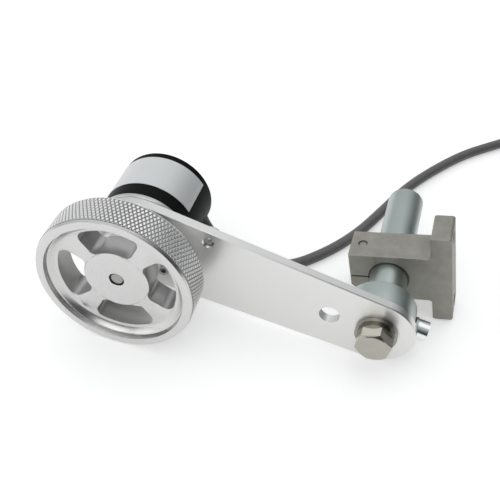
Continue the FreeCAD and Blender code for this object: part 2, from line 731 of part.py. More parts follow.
def clamp_block():
    """Drawn T section: split body round the post, foot plate with two bolt holes."""
    y0 = BLOCK_FRONT
    top = BLOCK_HALF
    corner = 1.6
    outline = [
        (BLOCK_LEFT, top), (FOOT_IN, top), (FOOT_IN, FOOT_HALF), (FOOT_OUT, FOOT_HALF),
        (FOOT_OUT, -FOOT_HALF), (FOOT_IN, -FOOT_HALF), (FOOT_IN, -top), (JAW_STEP_X, -top),
        (JAW_STEP_X, JAW_BOTTOM), (BLOCK_LEFT + corner, JAW_BOTTOM),
        (BLOCK_LEFT, JAW_BOTTOM + corner),
    ]
    points = [Vector(x, y0, z) for x, z in outline]
    face = Part.Face(Part.makePolygon(points + points[:1]))
    block = face.extrude(Vector(0, BLOCK_DEPTH, 0))

    def edges_at(solid, places):
        found = []
        for e in solid.Edges:
            a = e.Vertexes[0].Point
            b = e.Vertexes[-1].Point
            if abs(a.y - b.y) < BLOCK_DEPTH - 0.01:
                continue
            if any(abs(a.x - x) < 1e-6 and abs(a.z - z) < 1e-6 for x, z in places):
                found.append(e)
        return found

    inner = [(FOOT_IN, top), (FOOT_IN, -top)]
    feet = [(x, s * FOOT_HALF) for x in (FOOT_IN, FOOT_OUT) for s in (1, -1)]
    block = block.makeFillet(FOOT_FILLET, edges_at(block, inner))
    block = block.makeFillet(FOOT_ROUND, edges_at(block, feet))
    ends = [e for e in block.Edges
            if e.BoundBox.YLength < 1e-6]
    block = block.makeChamfer(BLOCK_EDGE, ends)

    middle = y0 + BLOCK_DEPTH / 2
    block = block.cut(rod(POST_R + BORE_CLEARANCE, y0 - 1, y0 + BLOCK_DEPTH + 1))
    block = block.cut(Part.makeBox(-BLOCK_LEFT + 1, BLOCK_DEPTH + 2, SLIT,
                                   Vector(BLOCK_LEFT - 1, y0 - 1, -SLIT / 2)))
    up = Vector(0, 0, 1)
    clearance = Part.makeCylinder(CLAMP_SCREW_R + 0.15, BLOCK_HALF,
                                  Vector(CLAMP_SCREW_X, middle, -BLOCK_HALF), up)
    thread = Part.makeCylinder(CLAMP_SCREW_R + SEAT, BLOCK_HALF + 1,
                               Vector(CLAMP_SCREW_X, middle, 0), up)
    block = block.cut(clearance).cut(thread)
    for side in (1, -1):
        hole = Part.makeCylinder(FOOT_HOLE_R, FOOT_OUT - FOOT_IN + 2,
                                 Vector(FOOT_IN - 1, middle, side * FOOT_HOLE_Z), Vector(1, 0, 0))
        block = block.cut(hole)
    return block


def clamp_screw():
    tip = BLOCK_HALF - 0.6
    screw = socket_screw(CLAMP_SCREW_R, tip - JAW_BOTTOM, 3.5, 4.0, 3.0)
    return along(screw, Vector(CLAMP_SCREW_X, BLOCK_FRONT + BLOCK_DEPTH / 2, tip), Vector(0, 0, -1))


# Standing position

def stance():
    """The arm's slope when the rim and the foot's lower inner edge touch one plane."""
    turn = rad(BLOCK_ANGLE)
    round_x = FOOT_IN + FOOT_ROUND
    round_z = FOOT_ROUND - FOOT_HALF
    x = ARM_LENGTH + round_x * math.cos(turn) - round_z * math.sin(turn)
    z = round_x * math.sin(turn) + round_z * math.cos(turn)
    away = math.hypot(x, z)
    up_angle = math.atan2(z, x) + math.acos((FOOT_ROUND - WHEEL_R) / away)
    return math.degrees(up_angle) - 90


def reach():
    """How far the foot's lower outer corner lies from the wheel's axis, level with the table."""
    tilt = rad(BLOCK_ANGLE - SLOPE)
    corner = (FOOT_OUT - FOOT_ROUND) * math.cos(tilt) + (FOOT_HALF - FOOT_ROUND) * math.sin(tilt)
    return ARM_LENGTH * math.cos(rad(SLOPE)) + corner + FOOT_ROUND


SLOPE = stance()
ORIGIN_X = (reach() - WHEEL_R) / 2
ORIGIN_Y = (POST_END + WHEEL_FRONT) / 2


def stand(shape):
    """Turns and moves a shape from the arm's frame to where the object stands on Z = 0."""
    turn = FreeCAD.Placement(Vector(0, 0, 0), FreeCAD.Rotation(Y_AXIS, SLOPE))
    lift = FreeCAD.Placement(Vector(-ORIGIN_X, -ORIGIN_Y, WHEEL_R), FreeCAD.Rotation())
    moved = shape.copy()
    moved.Placement = lift.multiply(turn).multiply(moved.Placement)
    return moved


def at_pivot(shape):
    return shape.translate(Vector(ARM_LENGTH, 0, 0))


def on_block(shape):
    shape.rotate(Vector(0, 0, 0), Y_AXIS, -BLOCK_ANGLE)
    return at_pivot(shape)


def standing_point(point):
    vertex = stand(Part.Vertex(point))
    return vertex.Point


# Signal cable, drawn where the object stands

def coil_place(turn):
    """Point and heading on the coil's centre line after a number of turns, wound clockwise."""
    down = COIL_DOWN_TURNS
    climb_end = down + COIL_CLIMB_TURNS
    inner_r = COIL_OUT_R - COIL_PITCH * down
    angle = rad(COIL_START_ANGLE - 360.0 * turn)
    height = CABLE_R
    rise = 0.0
    if turn < down:
        radius = COIL_OUT_R - COIL_PITCH * turn
        widen = -COIL_PITCH
    elif turn < climb_end:
        share = (turn - down) / COIL_CLIMB_TURNS
        radius = inner_r + COIL_PITCH * COIL_CLIMB_TURNS * share * (share - 1)
        widen = COIL_PITCH * (2 * share - 1)
        height += COIL_LAYER * share * share * (3 - 2 * share)
        rise = COIL_LAYER * 6 * share * (1 - share) / COIL_CLIMB_TURNS
    else:
        radius = inner_r + COIL_PITCH * (turn - climb_end)
        widen = COIL_PITCH
        height += COIL_LAYER
    out = Vector(math.cos(angle), math.sin(angle), 0)
    forward = Vector(math.sin(angle), -math.cos(angle), 0)
    point = Vector(COIL_CENTRE[0], COIL_CENTRE[1], height) + out * radius
    heading = forward * (2 * math.pi * radius) + out * widen + Vector(0, 0, rise)
    return point, heading.normalize()


def coil_ends():
    """Where the coil's tube starts and ends, one cable diameter beyond its turns, and the headings."""
    total = COIL_DOWN_TURNS + COIL_CLIMB_TURNS + COIL_UP_TURNS
    first, heading0 = coil_place(0.0)
    last, heading1 = coil_place(total)
    return first - heading0 * 2 * CABLE_R, heading0, last + heading1 * 2 * CABLE_R, heading1


def cable_coil():
    steps = int(round(4 * (COIL_DOWN_TURNS + COIL_CLIMB_TURNS + COIL_UP_TURNS)))
    start, heading0, end, heading1 = coil_ends()
    places = [coil_place(i / 4.0) for i in range(steps + 1)]
    edges = [Part.makeLine(start, places[0][0])]
    for (p0, t0), (p1, t1) in zip(places, places[1:]):
        edges += biarc(p0, t0, p1, t1)
    edges.append(Part.makeLine(places[-1][0], end))
    report_coil_gap(edges)
    return tube(edges, start, heading0, CABLE_R)


def report_coil_gap(edges):
    """Prints the coil's length and its least gap to itself, measured on points of the centre line."""
    points = []
    for edge in edges:
        points += edge.discretize(Distance=1.5)[:-1]
    length = sum(e.Length for e in edges)
    skip = int(4 * CABLE_R * math.pi / 1.5)
    least = min((points[i] - points[j]).Length
                for i in range(len(points)) for j in range(i + skip, len(points)))
    print("coil length %.0f mm, least gap to itself %.2f mm" % (length, least - 2 * CABLE_R))


def cable_route():
    """The free stretch: out of the gland, down to the table and along it to the coil."""
    out = polar(1, GLAND_ANGLE, 0)
    gland_end = standing_point(out * GLAND_END + Vector(0, GLAND_Y, 0))
    leave = standing_point(out * (GLAND_END + 12) + Vector(0, GLAND_Y, 0))
    coil_start, coil_heading = coil_ends()[:2]
    on_table = [(6.8, 7.6), (20.9, 23.1), (31.9, 40.6), (40.6, 61.4), (49.2, 84.1),
                (61.2, 105.4), (75.6, 126.2), (89.6, 140.4)]
    points = [gland_end, leave]
    points += [Vector(x, y, CABLE_R) for x, y in on_table]
    points += [coil_start - coil_heading * 18.0, coil_start]
    return points


def signal_cable():
    """Straight runs joined by tangent arcs; prints each arc's radius and the volume's share."""
    points = cable_route()
    edges = []
    here = points[0]
    for before, corner, after in zip(points, points[1:], points[2:]):
        back = before - corner
        ahead = after - corner
        reach = 0.45 * min(back.Length, ahead.Length)
        back.normalize()
        ahead.normalize()
        turn = math.acos(max(-1.0, min(1.0, -back.dot(ahead))))
        start = corner + back * reach
        end = corner + ahead * reach
        edges.append(Part.makeLine(here, start))
        edges.append(arc_by_corner(start, corner, end))
        print("cable turn %.1f deg, radius %.0f mm" % (math.degrees(turn), reach / math.tan(turn / 2)))
        here = end
    edges.append(Part.makeLine(here, points[-1]))
    cable = tube(edges, points[0], points[1] - points[0], CABLE_R)
    length = sum(e.Length for e in edges)
    share = cable.Volume / (math.pi * CABLE_R ** 2 * length)
    print("cable length %.0f mm, volume over section times length %.4f" % (length, share))
    return cable


def lead_wires():
    """Bare end of the cable: insulated cores that leave the jacket side by side and fan out."""
    end, heading = coil_ends()[2:]
    side = heading.cross(Vector(0, 0, 1)).normalize()
    cores = []
    for i in range(CORE_COUNT):
        spread = i - (CORE_COUNT - 1) / 2
        start = end + side * (spread * CORE_STEP) - Vector(0, 0, 1) * (i % 2) * CORE_R * 2.1
        corner = start + heading * CORE_LENGTH * 0.3
        tip = corner + heading * CORE_LENGTH * 0.7 + side * spread * CORE_SPLAY
        if spread == 0:
            cores.append(tube([Part.makeLine(start, tip)], start, heading, CORE_R))
            continue
        reach = CORE_LENGTH * 0.2
        out = (tip - corner).normalize()
        bend0 = corner - heading * reach
        bend1 = corner + out * reach
        edges = [Part.makeLine(start, bend0), arc_by_corner(bend0, corner, bend1),
                 Part.makeLine(bend1, tip)]
        cores.append(tube(edges, start, heading, CORE_R))
    return cores


def pieces():
    """Every node's name with its solid or solids, in the standing position."""
    front = FRONT_BEARING_Y
    rear = REAR_BEARING_Y
    arm_frame = {
        "measuring_wheel": measuring_wheel(),
        "wheel_set_screws": wheel_set_screws(),
        "encoder_shaft": encoder_shaft(),
        "front_bearing_inner": bearing_inner(front),
        "front_bearing_balls": bearing_balls(front),
        "front_bearing_outer": bearing_outer(front),
        "rear_bearing_inner": bearing_inner(rear),
        "rear_bearing_balls": bearing_balls(rear),
        "rear_bearing_outer": bearing_outer(rear),
        "bearing_circlip": bearing_circlip(),
        "code_disc_hub": code_disc_hub(),
        "code_disc": code_disc(),
        "encoder_flange": encoder_flange(),
        "encoder_screws": encoder_screws(),
        "board_pillars": board_pillars(),
        "sensor_board": sensor_board(),
        "light_source": light_source(),
        "photo_sensor": photo_sensor(),
        "encoder_cover": encoder_cover(),
        "cover_screws": cover_screws(),
        "encoder_label": encoder_label(),
        "cable_gland": cable_gland(),
        "arm_plate": arm_plate(),
        "plate_screw": plate_screw(),
        "pivot_bush": pivot_bush(),
        "stop_pin": stop_pin(),
        "pivot_post": at_pivot(pivot_post()),
        "spring_housing": at_pivot(spring_housing()),
        "torsion_spring": at_pivot(torsion_spring()),
        "anchor_screw": at_pivot(anchor_screw()),
        "anchor_washer": at_pivot(anchor_washer()),
        "flat_washer": at_pivot(flat_washer()),
        "lock_washer": at_pivot(lock_washer()),
        "pivot_bolt": at_pivot(pivot_bolt()),
        "clamp_block": on_block(clamp_block()),
        "clamp_screw": on_block(clamp_screw()),
    }
    standing = {}
    for name, shape in arm_frame.items():
        solids = shape if isinstance(shape, list) else [shape]
        standing[name] = [stand(s) for s in solids]
    standing["signal_cable"] = [signal_cable()]
    standing["cable_coil"] = [cable_coil()]
    standing["lead_wires"] = lead_wires()
    return standing


def main():
    os.makedirs("parts", exist_ok=True)
    box = FreeCAD.BoundBox()
    for name, solids in pieces().items():
        shape = solids[0] if len(solids) == 1 else Part.makeCompound(solids)
        shape.exportStep(os.path.join("parts", name + ".step"))
        if name not in CORD_NODES:
            box.add(shape.optimalBoundingBox())
    print("slope %.3f deg" % SLOPE)
    print("object without its cable: X %.2f to %.2f, Y %.2f to %.2f, Z %.2f to %.2f"
          % (box.XMin, box.XMax, box.YMin, box.YMax, box.ZMin, box.ZMax))


main()
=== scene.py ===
"""Cable length counter: its finishes, knurled wheel, turned steel, cable and studio."""

import json
import math

import bmesh
import bpy
import numpy as np
from bpy.props import FloatProperty, FloatVectorProperty, IntProperty, PointerProperty
from mathutils import Matrix, Vector


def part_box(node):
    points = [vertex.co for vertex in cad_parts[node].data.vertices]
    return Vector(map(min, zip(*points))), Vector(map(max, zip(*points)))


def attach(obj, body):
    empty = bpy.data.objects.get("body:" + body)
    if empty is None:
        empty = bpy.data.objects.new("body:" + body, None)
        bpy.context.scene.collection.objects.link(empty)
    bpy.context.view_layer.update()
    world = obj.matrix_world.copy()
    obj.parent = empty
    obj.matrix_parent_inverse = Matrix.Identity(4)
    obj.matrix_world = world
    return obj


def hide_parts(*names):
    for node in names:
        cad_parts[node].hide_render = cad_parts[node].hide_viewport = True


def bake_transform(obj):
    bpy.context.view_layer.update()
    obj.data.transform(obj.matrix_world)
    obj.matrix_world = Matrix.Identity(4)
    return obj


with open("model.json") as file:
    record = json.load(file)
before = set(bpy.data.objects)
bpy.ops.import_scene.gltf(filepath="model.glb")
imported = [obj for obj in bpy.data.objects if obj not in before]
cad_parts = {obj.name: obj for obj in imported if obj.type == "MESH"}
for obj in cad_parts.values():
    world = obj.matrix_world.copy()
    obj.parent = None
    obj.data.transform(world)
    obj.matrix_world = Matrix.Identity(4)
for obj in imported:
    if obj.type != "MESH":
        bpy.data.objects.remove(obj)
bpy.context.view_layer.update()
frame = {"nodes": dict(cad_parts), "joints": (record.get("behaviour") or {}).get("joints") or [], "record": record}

bl_info = {
    "name": "Cable length counter",
    "version": (1, 0, 0),
    "blender": (4, 5, 0),
    "location": "View3D > Sidebar > Counter",
    "description": "Builds the finishes, knurled wheel, cable and studio of a cable length counter",
    "category": "Object",
}

MM = 0.001

# Measuring wheel, along its axis from the arm's frame and outwards from the axis
WHEEL_FRONT = -1.6 * MM
WHEEL_BACK = 13.2 * MM
WEB_FRONT = 2.5 * MM
WEB_BACK = 12.9 * MM
WEB_IN = 12.9 * MM
WEB_OUT = 24.6 * MM
RECESS_R = 28.0 * MM
COVE_R = 27.35 * MM
COVE_Y = 0.5 * MM
COVE_POWER = 1.35
COVE_LEDGE = 0.15 * MM
BACK_RECESS_R = 27.8 * MM
BACK_RECESS_TAPER = 1.0 * MM
BEVEL_R = 0.8 * MM
BEVEL_W = 1.0 * MM
BORE_R = 3.02 * MM
BORE_MOUTH = 0.15 * MM
BOSS_END = 20.0 * MM
BOSS_EDGE = 0.4 * MM
EDGE_R = 0.1 * MM
# Radius on the shaft's end beyond which a painted shade ring darkens its chamfered edge
SHAFT_SHADE_R = 2.35 * MM

# Graduated track of the code disc
TRACK_IN = 10.2 * MM
TRACK_OUT = 12.8 * MM
TRACK_LINES = 120.0

# Windows in the wheel's web
WINDOW_COUNT = 4
WINDOW_IN = 13.2 * MM
WINDOW_OUT = 23.9 * MM
WINDOW_HALF = math.radians(33.0)
WINDOW_FIRST = math.radians(18.0)
WINDOW_OUTER_CORNER = 3.3 * MM
WINDOW_INNER_CORNER = 2.4 * MM
WINDOW_BEVEL = 0.22 * MM
BEVEL_MIDDLE = 0.3
CORNER_STEPS = 9
END_STEPS = 5

# Faces that take other finishes: how upright a milled wall is, and how near the root a groove is
WALL_TILT = 0.3
RIM_SHARE = 0.9985

# Edges that turn by more than this stay sharp, in degrees, and points this near are one
SHARP = 32.0
SHARP_ON_WHEEL = 24.0
MERGE_GAP = 0.001 * MM

# Knurl: cells per diamond, width of a groove's flank and height where the flat tip starts
KNURL_CELLS = 6
KNURL_FLANK = 0.34
KNURL_SHOULDER = 0.84
KNURL_FRONT = WHEEL_FRONT + BEVEL_W
KNURL_BACK = WHEEL_BACK - BEVEL_W

# Post and spring housing: radius and distance along the pivot, in millimetres
POST_PROFILE = ((0, 40.9), (8.0, 40.9), (8.0, 110.4), (6.9, 111.5), (0, 111.5))
POST_EDGE_R = 0.35 * MM
HOUSING_PROFILE = (
    (6.1, 29.3), (13.9, 29.3), (14.2, 29.6), (14.2, 40.0), (13.2, 41.0), (7.9, 41.0), (6.1, 40.9))
HOUSING_EDGE_R = 0.2 * MM
# Depth from the front of the bolt head that its painted shade covers
HEAD_CHAMFER = 0.9 * MM
# Radius about the pivot inside which the clamp block carries a painted shadow round the post
BORE_SHADE_R = 8.7 * MM

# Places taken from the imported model
JOINTS = {joint["name"]: joint for joint in frame["joints"]}
MOUNTS = {mount["name"]: mount for mount in frame["record"]["mounts"]}
WHEEL_AXIS = Vector(JOINTS["wheel_spin"]["pos_m"])
PIVOT_AXIS = Vector(JOINTS["arm_swing"]["pos_m"])
ARM_FRAME_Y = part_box("measuring_wheel")[0].y - WHEEL_FRONT
ARM_SLOPE = math.atan2(WHEEL_AXIS.z - PIVOT_AXIS.z, PIVOT_AXIS.x - WHEEL_AXIS.x)
BLOCK_TILT = math.atan2(MOUNTS["foot_face"]["axis"][2], MOUNTS["foot_face"]["axis"][0])

# Where the photograph was taken from, aimed at a point of the table
LENS = 58.06
SENSOR = 36.0
AIM = Vector((-0.01284, 0.01484, 0.0))
CAMERA_DISTANCE = 0.3703
CAMERA_AZIMUTH = math.radians(11.068)
CAMERA_ELEVATION = math.radians(43.511)
CAMERA_ROLL = math.radians(7.117)

# Studio: lamps as name, place, size and power in watts, then the surround's lean and ramp
LAMPS = (
    ("key_lamp", (-0.28, -1.15, 0.85), 0.9, 3.2),
    ("top_lamp", (0.25, 0.35, 1.5), 1.4, 3.0),
    ("left_lamp", (-1.1, -0.9, 0.4), 0.7, 1.6),
)
LAMP_AIM = (0, 0, 0.02)
WORLD_LEAN = (-0.45, 0.25, 0.80)
# The ramp's own two stops come first, then the ones that are added between them
WORLD_STOPS = ((0.0, (0.05, 0.052, 0.054)), (0.90, (0.86, 0.87, 0.88)), (0.25, (0.27, 0.275, 0.28)),
               (0.60, (0.66, 0.67, 0.68)))
FLOOR_HALF = 3.0
FLOOR_GAP = 0.02 * MM
FLOOR_LIFT = 0.42

# Cable: the points of its free stretch on the table, and the coil, both in metres
CABLE_TABLE_POINTS = (
    (0.0068, 0.0076), (0.0209, 0.0231), (0.0319, 0.0406), (0.0406, 0.0614),
    (0.0492, 0.0841), (0.0612, 0.1054), (0.0756, 0.1262), (0.0896, 0.1404),
)
GLAND_ANGLE = math.radians(-20.0)
GLAND_Y = 50.0 * MM
GLAND_END = 33.0 * MM
CABLE_DROP = 12.0 * MM
COIL_CENTRE = (0.1486, 0.1351)
COIL_OUT_R = 0.040
COIL_PITCH = 0.0056
COIL_LAYER = 0.0056
COIL_START = math.radians(130.0)
COIL_DOWN_TURNS = 3.75
COIL_CLIMB_TURNS = 0.5
COIL_UP_TURNS = 3.0
COIL_LEAD_IN = 0.018
COIL_POINTS_PER_TURN = 24


class CounterSizes(bpy.types.PropertyGroup):
    """Sizes that a user may change."""

    wheel_radius: FloatProperty(
        name="Wheel radius", description="Radius over the tips of the knurl",
        default=31.831 * MM, unit="LENGTH")
    knurl_count: IntProperty(
        name="Knurl count", description="Diamonds round the wheel", default=120, min=12)
    knurl_angle: FloatProperty(
        name="Knurl angle", description="Angle between a groove and the wheel's axis",
        default=math.radians(29.0), unit="ROTATION", min=0.1, max=1.4)
    knurl_depth: FloatProperty(
        name="Knurl depth", description="Depth of the knurl's grooves",
        default=0.26 * MM, unit="LENGTH")
    cable_diameter: FloatProperty(
        name="Cable diameter", description="Outer diameter of the cable's jacket",
        default=5.0 * MM, unit="LENGTH")


class CounterColours(bpy.types.PropertyGroup):
    """Main colours, as linear values."""

    aluminium: FloatVectorProperty(
        name="Aluminium", description="Wheel and arm", subtype="COLOR",
        default=(0.64, 0.64, 0.63), min=0, max=1)
    zinc: FloatVectorProperty(
        name="Zinc plate", description="Post and spring housing", subtype="COLOR",
        default=(0.43, 0.50, 0.505), min=0, max=1)
    nickel: FloatVectorProperty(
        name="Nickel plate", description="Pivot bolt and its washers", subtype="COLOR",
        default=(0.62, 0.60, 0.535), min=0, max=1)
    block: FloatVectorProperty(
        name="Clamp block", description="Drawn metal of the clamp block", subtype="COLOR",
        default=(0.33, 0.32, 0.285), min=0, max=1)
    jacket: FloatVectorProperty(
        name="Cable jacket", description="Grey plastic of the cable", subtype="COLOR",
        default=(0.135, 0.130, 0.131), min=0, max=1)
    label: FloatVectorProperty(
        name="Label", description="Bare film round the encoder", subtype="COLOR",
        default=(0.74, 0.76, 0.76), min=0, max=1)


# Shader building


class Wire:
    """A socket that adds Math nodes when it is used in an expression."""

    def __init__(self, finish, socket):
        self.finish = finish
        self.socket = socket

    def maths(self, operation, *values):
        return self.finish.node("ShaderNodeMath", {"operation": operation}, values)

    def __add__(self, other):
        return self.maths("ADD", self, other)

    def __sub__(self, other):
        return self.maths("SUBTRACT", self, other)

    def __rsub__(self, other):
        return self.maths("SUBTRACT", other, self)

    def __mul__(self, other):
        return self.maths("MULTIPLY", self, other)

    def __pow__(self, other):
        return self.maths("POWER", self, other)

    def above(self, level):
        return self.maths("GREATER_THAN", self, level)

    __radd__ = __add__
    __rmul__ = __mul__


class Finish:
    """A material on one Principled shader, with short calls for what feeds it."""

    def __init__(self, name, color, roughness, metallic=0.0, **constants):
        self.material = bpy.data.materials.new(name)
        self.material.use_nodes = True
        self.tree = self.material.node_tree
        self.shader = self.tree.nodes["Principled BSDF"]
        self.feed("Base Color", color)
        self.feed("Roughness", roughness)
        self.feed("Metallic", metallic)
        for socket, value in constants.items():
            self.feed(socket.replace("_", " "), value)

    def put(self, socket, value):
        if isinstance(value, Wire):
            self.tree.links.new(value.socket, socket)
        elif socket.type == "RGBA" and len(value) == 3:
            socket.default_value = (*value, 1.0)
        else:
            socket.default_value = value

    def feed(self, name, value):
        self.put(self.shader.inputs[name], value)

    def node(self, kind, settings=None, values=(), output=0):
        """Adds a node: its settings first, then its sockets, by name or by order."""
        made = self.tree.nodes.new(kind)
        for key, setting in (settings or {}).items():
            setattr(made, key, setting)
        pairs = values.items() if isinstance(values, dict) else enumerate(values)
        for key, value in pairs:
            self.put(made.inputs[key], value)
        return Wire(self, made.outputs[output])

    def place(self, centre=(0, 0, 0), turn=0.0, scale=(1, 1, 1)):
        """Object coordinates about a centre, turned about Y into the arm's or the block's frame."""
        about = self.node("ShaderNodeTexCoord", output="Object")
        moved = self.node("ShaderNodeVectorMath", {"operation": "SUBTRACT"}, (about, centre))
        return self.node("ShaderNodeMapping", {"vector_type": "POINT"},
                         {"Vector": moved, "Rotation": (0, turn, 0), "Scale": scale})

    def axes(self, vector):
        parts = self.tree.nodes.new("ShaderNodeSeparateXYZ")
        self.put(parts.inputs[0], vector)
        return [Wire(self, socket) for socket in parts.outputs]

    def noise(self, vector, scale, detail=2.0, roughness=0.5):
        return self.node("ShaderNodeTexNoise", None, {
            "Vector": vector, "Scale": scale, "Detail": detail, "Roughness": roughness})

    def rings(self, vector, scale):
        """Noise that changes only with the distance from the Y axis, like turning marks."""
        x, _, z = self.axes(vector)
        radius = (x * x + z * z) ** 0.5
        return self.node("ShaderNodeTexNoise", {"noise_dimensions": "1D"},
                         {"W": radius, "Scale": scale, "Detail": 2.0})

    def mix(self, share, first, second):
        made = self.tree.nodes.new("ShaderNodeMix")
        made.data_type = "RGBA"
        self.put(made.inputs["Factor"], share)
        self.put(made.inputs[6], first)
        self.put(made.inputs[7], second)
        return Wire(self, made.outputs[2])

    def bump(self, height, distance):
        made = self.node("ShaderNodeBump", None, {
            "Height": height, "Distance": distance, "Strength": 1.0})
        self.feed("Normal", made)


def shade(color, factor):
    return tuple(min(1.0, c * factor) for c in color)


def tint(color, other, share):
    return tuple(c + (o - c) * share for c, o in zip(color, other))


# Materials


def turned_aluminium(name, color, roughness=0.27):
    """Lathe-turned face: fine rings about the wheel's axis, faint clouds of haze."""
    finish = Finish(name, color, roughness, 1.0)
    where = finish.place(WHEEL_AXIS)
    marks = finish.rings(where, 5200.0)
    haze = finish.noise(where, 90.0, 3.0)
    finish.feed("Base Color", finish.mix(haze, shade(color, 0.95), shade(color, 1.04)))
    finish.feed("Roughness", marks * 0.10 + haze * 0.08 + (roughness - 0.09))
    finish.bump(marks, 0.006 * MM)
    return finish.material


def knurled_aluminium(name, color, tip, depth):
    """Painted highlight on the tips and painted shade in the grooves: both follow the distance from the wheel's
    axis.
    """
    finish = Finish(name, color, 0.32, 1.0)
    where = finish.place(WHEEL_AXIS)
    x, _, z = finish.axes(where)
    radius = (x * x + z * z) ** 0.5
    # Share of painted groove shade: none on the flat tips, full near the root; the grooves also lose most of their
    # metal there.
    groove_shade_mask = finish.node("ShaderNodeMath", {"operation": "MULTIPLY", "use_clamp": True},
                       (tip - depth * (1 - KNURL_SHOULDER) - radius, 1.6 / depth))
    # The tips are painted brighter than the metal as a painted highlight, and the grooves darker as painted shade.
    finish.feed("Base Color", finish.mix(groove_shade_mask, shade(color, 1.45), shade(color, 0.4)))
    finish.feed("Metallic", 1.0 - groove_shade_mask * 0.7)
    return finish.material


def satin_aluminium(name, color):
    """Fine-blasted, anodised plate: short grain along the arm, slow changes of gloss."""
    finish = Finish(name, color, 0.25, 1.0)
    where = finish.place(WHEEL_AXIS, ARM_SLOPE)
    along = finish.place(WHEEL_AXIS, ARM_SLOPE, (60, 900, 900))
    grain = finish.noise(along, 6.0, 3.0)
    cloud = finish.noise(where, 45.0, 2.0)
    finish.feed("Base Color", finish.mix(cloud, shade(color, 0.96), shade(color, 1.03)))
    finish.feed("Roughness", grain * 0.08 + cloud * 0.07 + 0.24)
    finish.bump(grain, 0.004 * MM)
    return finish.material


def zinc_plate(name, color):
    """Blue passivated zinc: a slow shift from blue to straw, turning marks, soft sheen."""
    finish = Finish(name, color, 0.3, 1.0)
    where = finish.place(PIVOT_AXIS)
    slow = finish.noise(where, 70.0, 3.0)
    fine = finish.noise(where, 900.0, 3.0)
    _, y, _ = finish.axes(where)
    feed = finish.node("ShaderNodeTexNoise", {"noise_dimensions": "1D"},
                       {"W": y, "Scale": 4200.0, "Detail": 1.0})
    straw = tint(color, (0.62, 0.62, 0.50), 0.35)
    finish.feed("Base Color", finish.mix(slow, shade(color, 0.92), straw))
    finish.feed("Roughness", slow * 0.14 + fine * 0.06 + 0.27)
    finish.bump(feed * 0.7 + fine * 0.3, 0.0025 * MM)
    return finish.material


def nickel_plate(name, color, front, roughness=0.2):
    """Bright warm plate with faint stains and small dents, and painted shade over the head's front face."""
    finish = Finish(name, color, roughness, 1.0)
    where = finish.place((PIVOT_AXIS.x, front + HEAD_CHAMFER, PIVOT_AXIS.z))
    _, y, _ = finish.axes(where)
    stain = finish.noise(where, 260.0, 4.0)
    dents = finish.noise(where, 1500.0, 1.0)
    plate = finish.mix(stain, shade(color, 0.82), shade(color, 1.08))
    # Painted shade: the head's front face, ahead of the plane set above, takes a darker copy of the plate.
    front_shade = finish.mix(stain, shade(color, 0.58), shade(color, 0.74))
    finish.feed("Base Color", finish.mix(y.above(0.0), front_shade, plate))
    finish.feed("Roughness", stain * 0.18 + (roughness - 0.08))
    finish.bump(dents, 0.012 * MM)
    return finish.material


def drawn_block(name, color):
    """Drawn and tumbled bar: cloudy dull skin, die lines, small pits, and a painted shadow ring round the post
    where it enters.
    """
    finish = Finish(name, color, 0.45, 0.45)
    where = finish.place(PIVOT_AXIS, -BLOCK_TILT)
    lines = finish.place(PIVOT_AXIS, -BLOCK_TILT, (1500, 120, 1500))
    cloud = finish.noise(where, 130.0, 4.0, 0.62)
    speck = finish.noise(where, 2600.0, 2.0)
    draw = finish.noise(lines, 1.0, 2.0)
    dull = finish.mix(cloud, shade(color, 0.62), shade(color, 1.38))
    x, _, z = finish.axes(where)
    # Painted shadow: a dark ring on the block close round the post.
    bore_shadow = 1.0 - ((x * x + z * z) ** 0.5).above(BORE_SHADE_R)
    # The real pits and the painted shadow ring take the same dark colour.
    dark = finish.node("ShaderNodeMath", {"operation": "MAXIMUM"}, (speck.above(0.68) * 0.5, bore_shadow))
    finish.feed("Base Color", finish.mix(dark, dull, shade(color, 0.25)))
    finish.feed("Roughness", cloud * 0.2 + draw * 0.1 + 0.28)
    finish.bump(draw * 0.5 + speck * 0.5, 0.014 * MM)
    return finish.material


def black_paint(name):
    """Half-gloss black paint over metal with a faint orange peel."""
    finish = Finish(name, (0.006, 0.0065, 0.0065), 0.3, Specular_IOR_Level=0.06)
    where = finish.place(WHEEL_AXIS)
    peel = finish.noise(where, 1400.0, 2.0)
    haze = finish.noise(where, 160.0, 3.0)
    finish.feed("Roughness", haze * 0.14 + 0.36)
    finish.bump(peel, 0.006 * MM)
    return finish.material


def silver_film(name, color):
    """Bare silver film: flake sparkle, slight cockle."""
    finish = Finish(name, color, 0.42, 0.3)
    where = finish.place(WHEEL_AXIS)
    flake = finish.noise(where, 3800.0, 1.0)
    cockle = finish.noise(where, 120.0, 2.0)
    finish.feed("Base Color", finish.mix(flake, shade(color, 0.9), shade(color, 1.1)))
    finish.feed("Roughness", flake * 0.12 + cockle * 0.1 + 0.32)
    finish.bump(cockle, 0.03 * MM)
    return finish.material


def cable_jacket(name, color):
    """Grey plastic jacket: satin skin, light scuffs, dust in the low spots."""
    finish = Finish(name, color, 0.46, 0.0)
    where = finish.place()
    dust = finish.noise(where, 240.0, 4.0)
    skin = finish.noise(where, 2400.0, 2.0)
    finish.feed("Base Color", finish.mix(dust, shade(color, 0.86), shade(color, 1.16)))
    finish.feed("Roughness", dust * 0.18 + 0.36)
    finish.bump(skin, 0.01 * MM)
    return finish.material


def moulded(name, color, roughness=0.5, grain=0.012):
    """Moulded plastic or rubber with a fine grain."""
    finish = Finish(name, color, roughness)
    where = finish.place(WHEEL_AXIS)
    texture = finish.noise(where, 1700.0, 2.0)
    patch = finish.noise(where, 150.0, 3.0)
    finish.feed("Base Color", finish.mix(patch, shade(color, 0.85), shade(color, 1.2)))
    finish.feed("Roughness", patch * 0.16 + (roughness - 0.08))
    finish.bump(texture, grain * MM)
    return finish.material


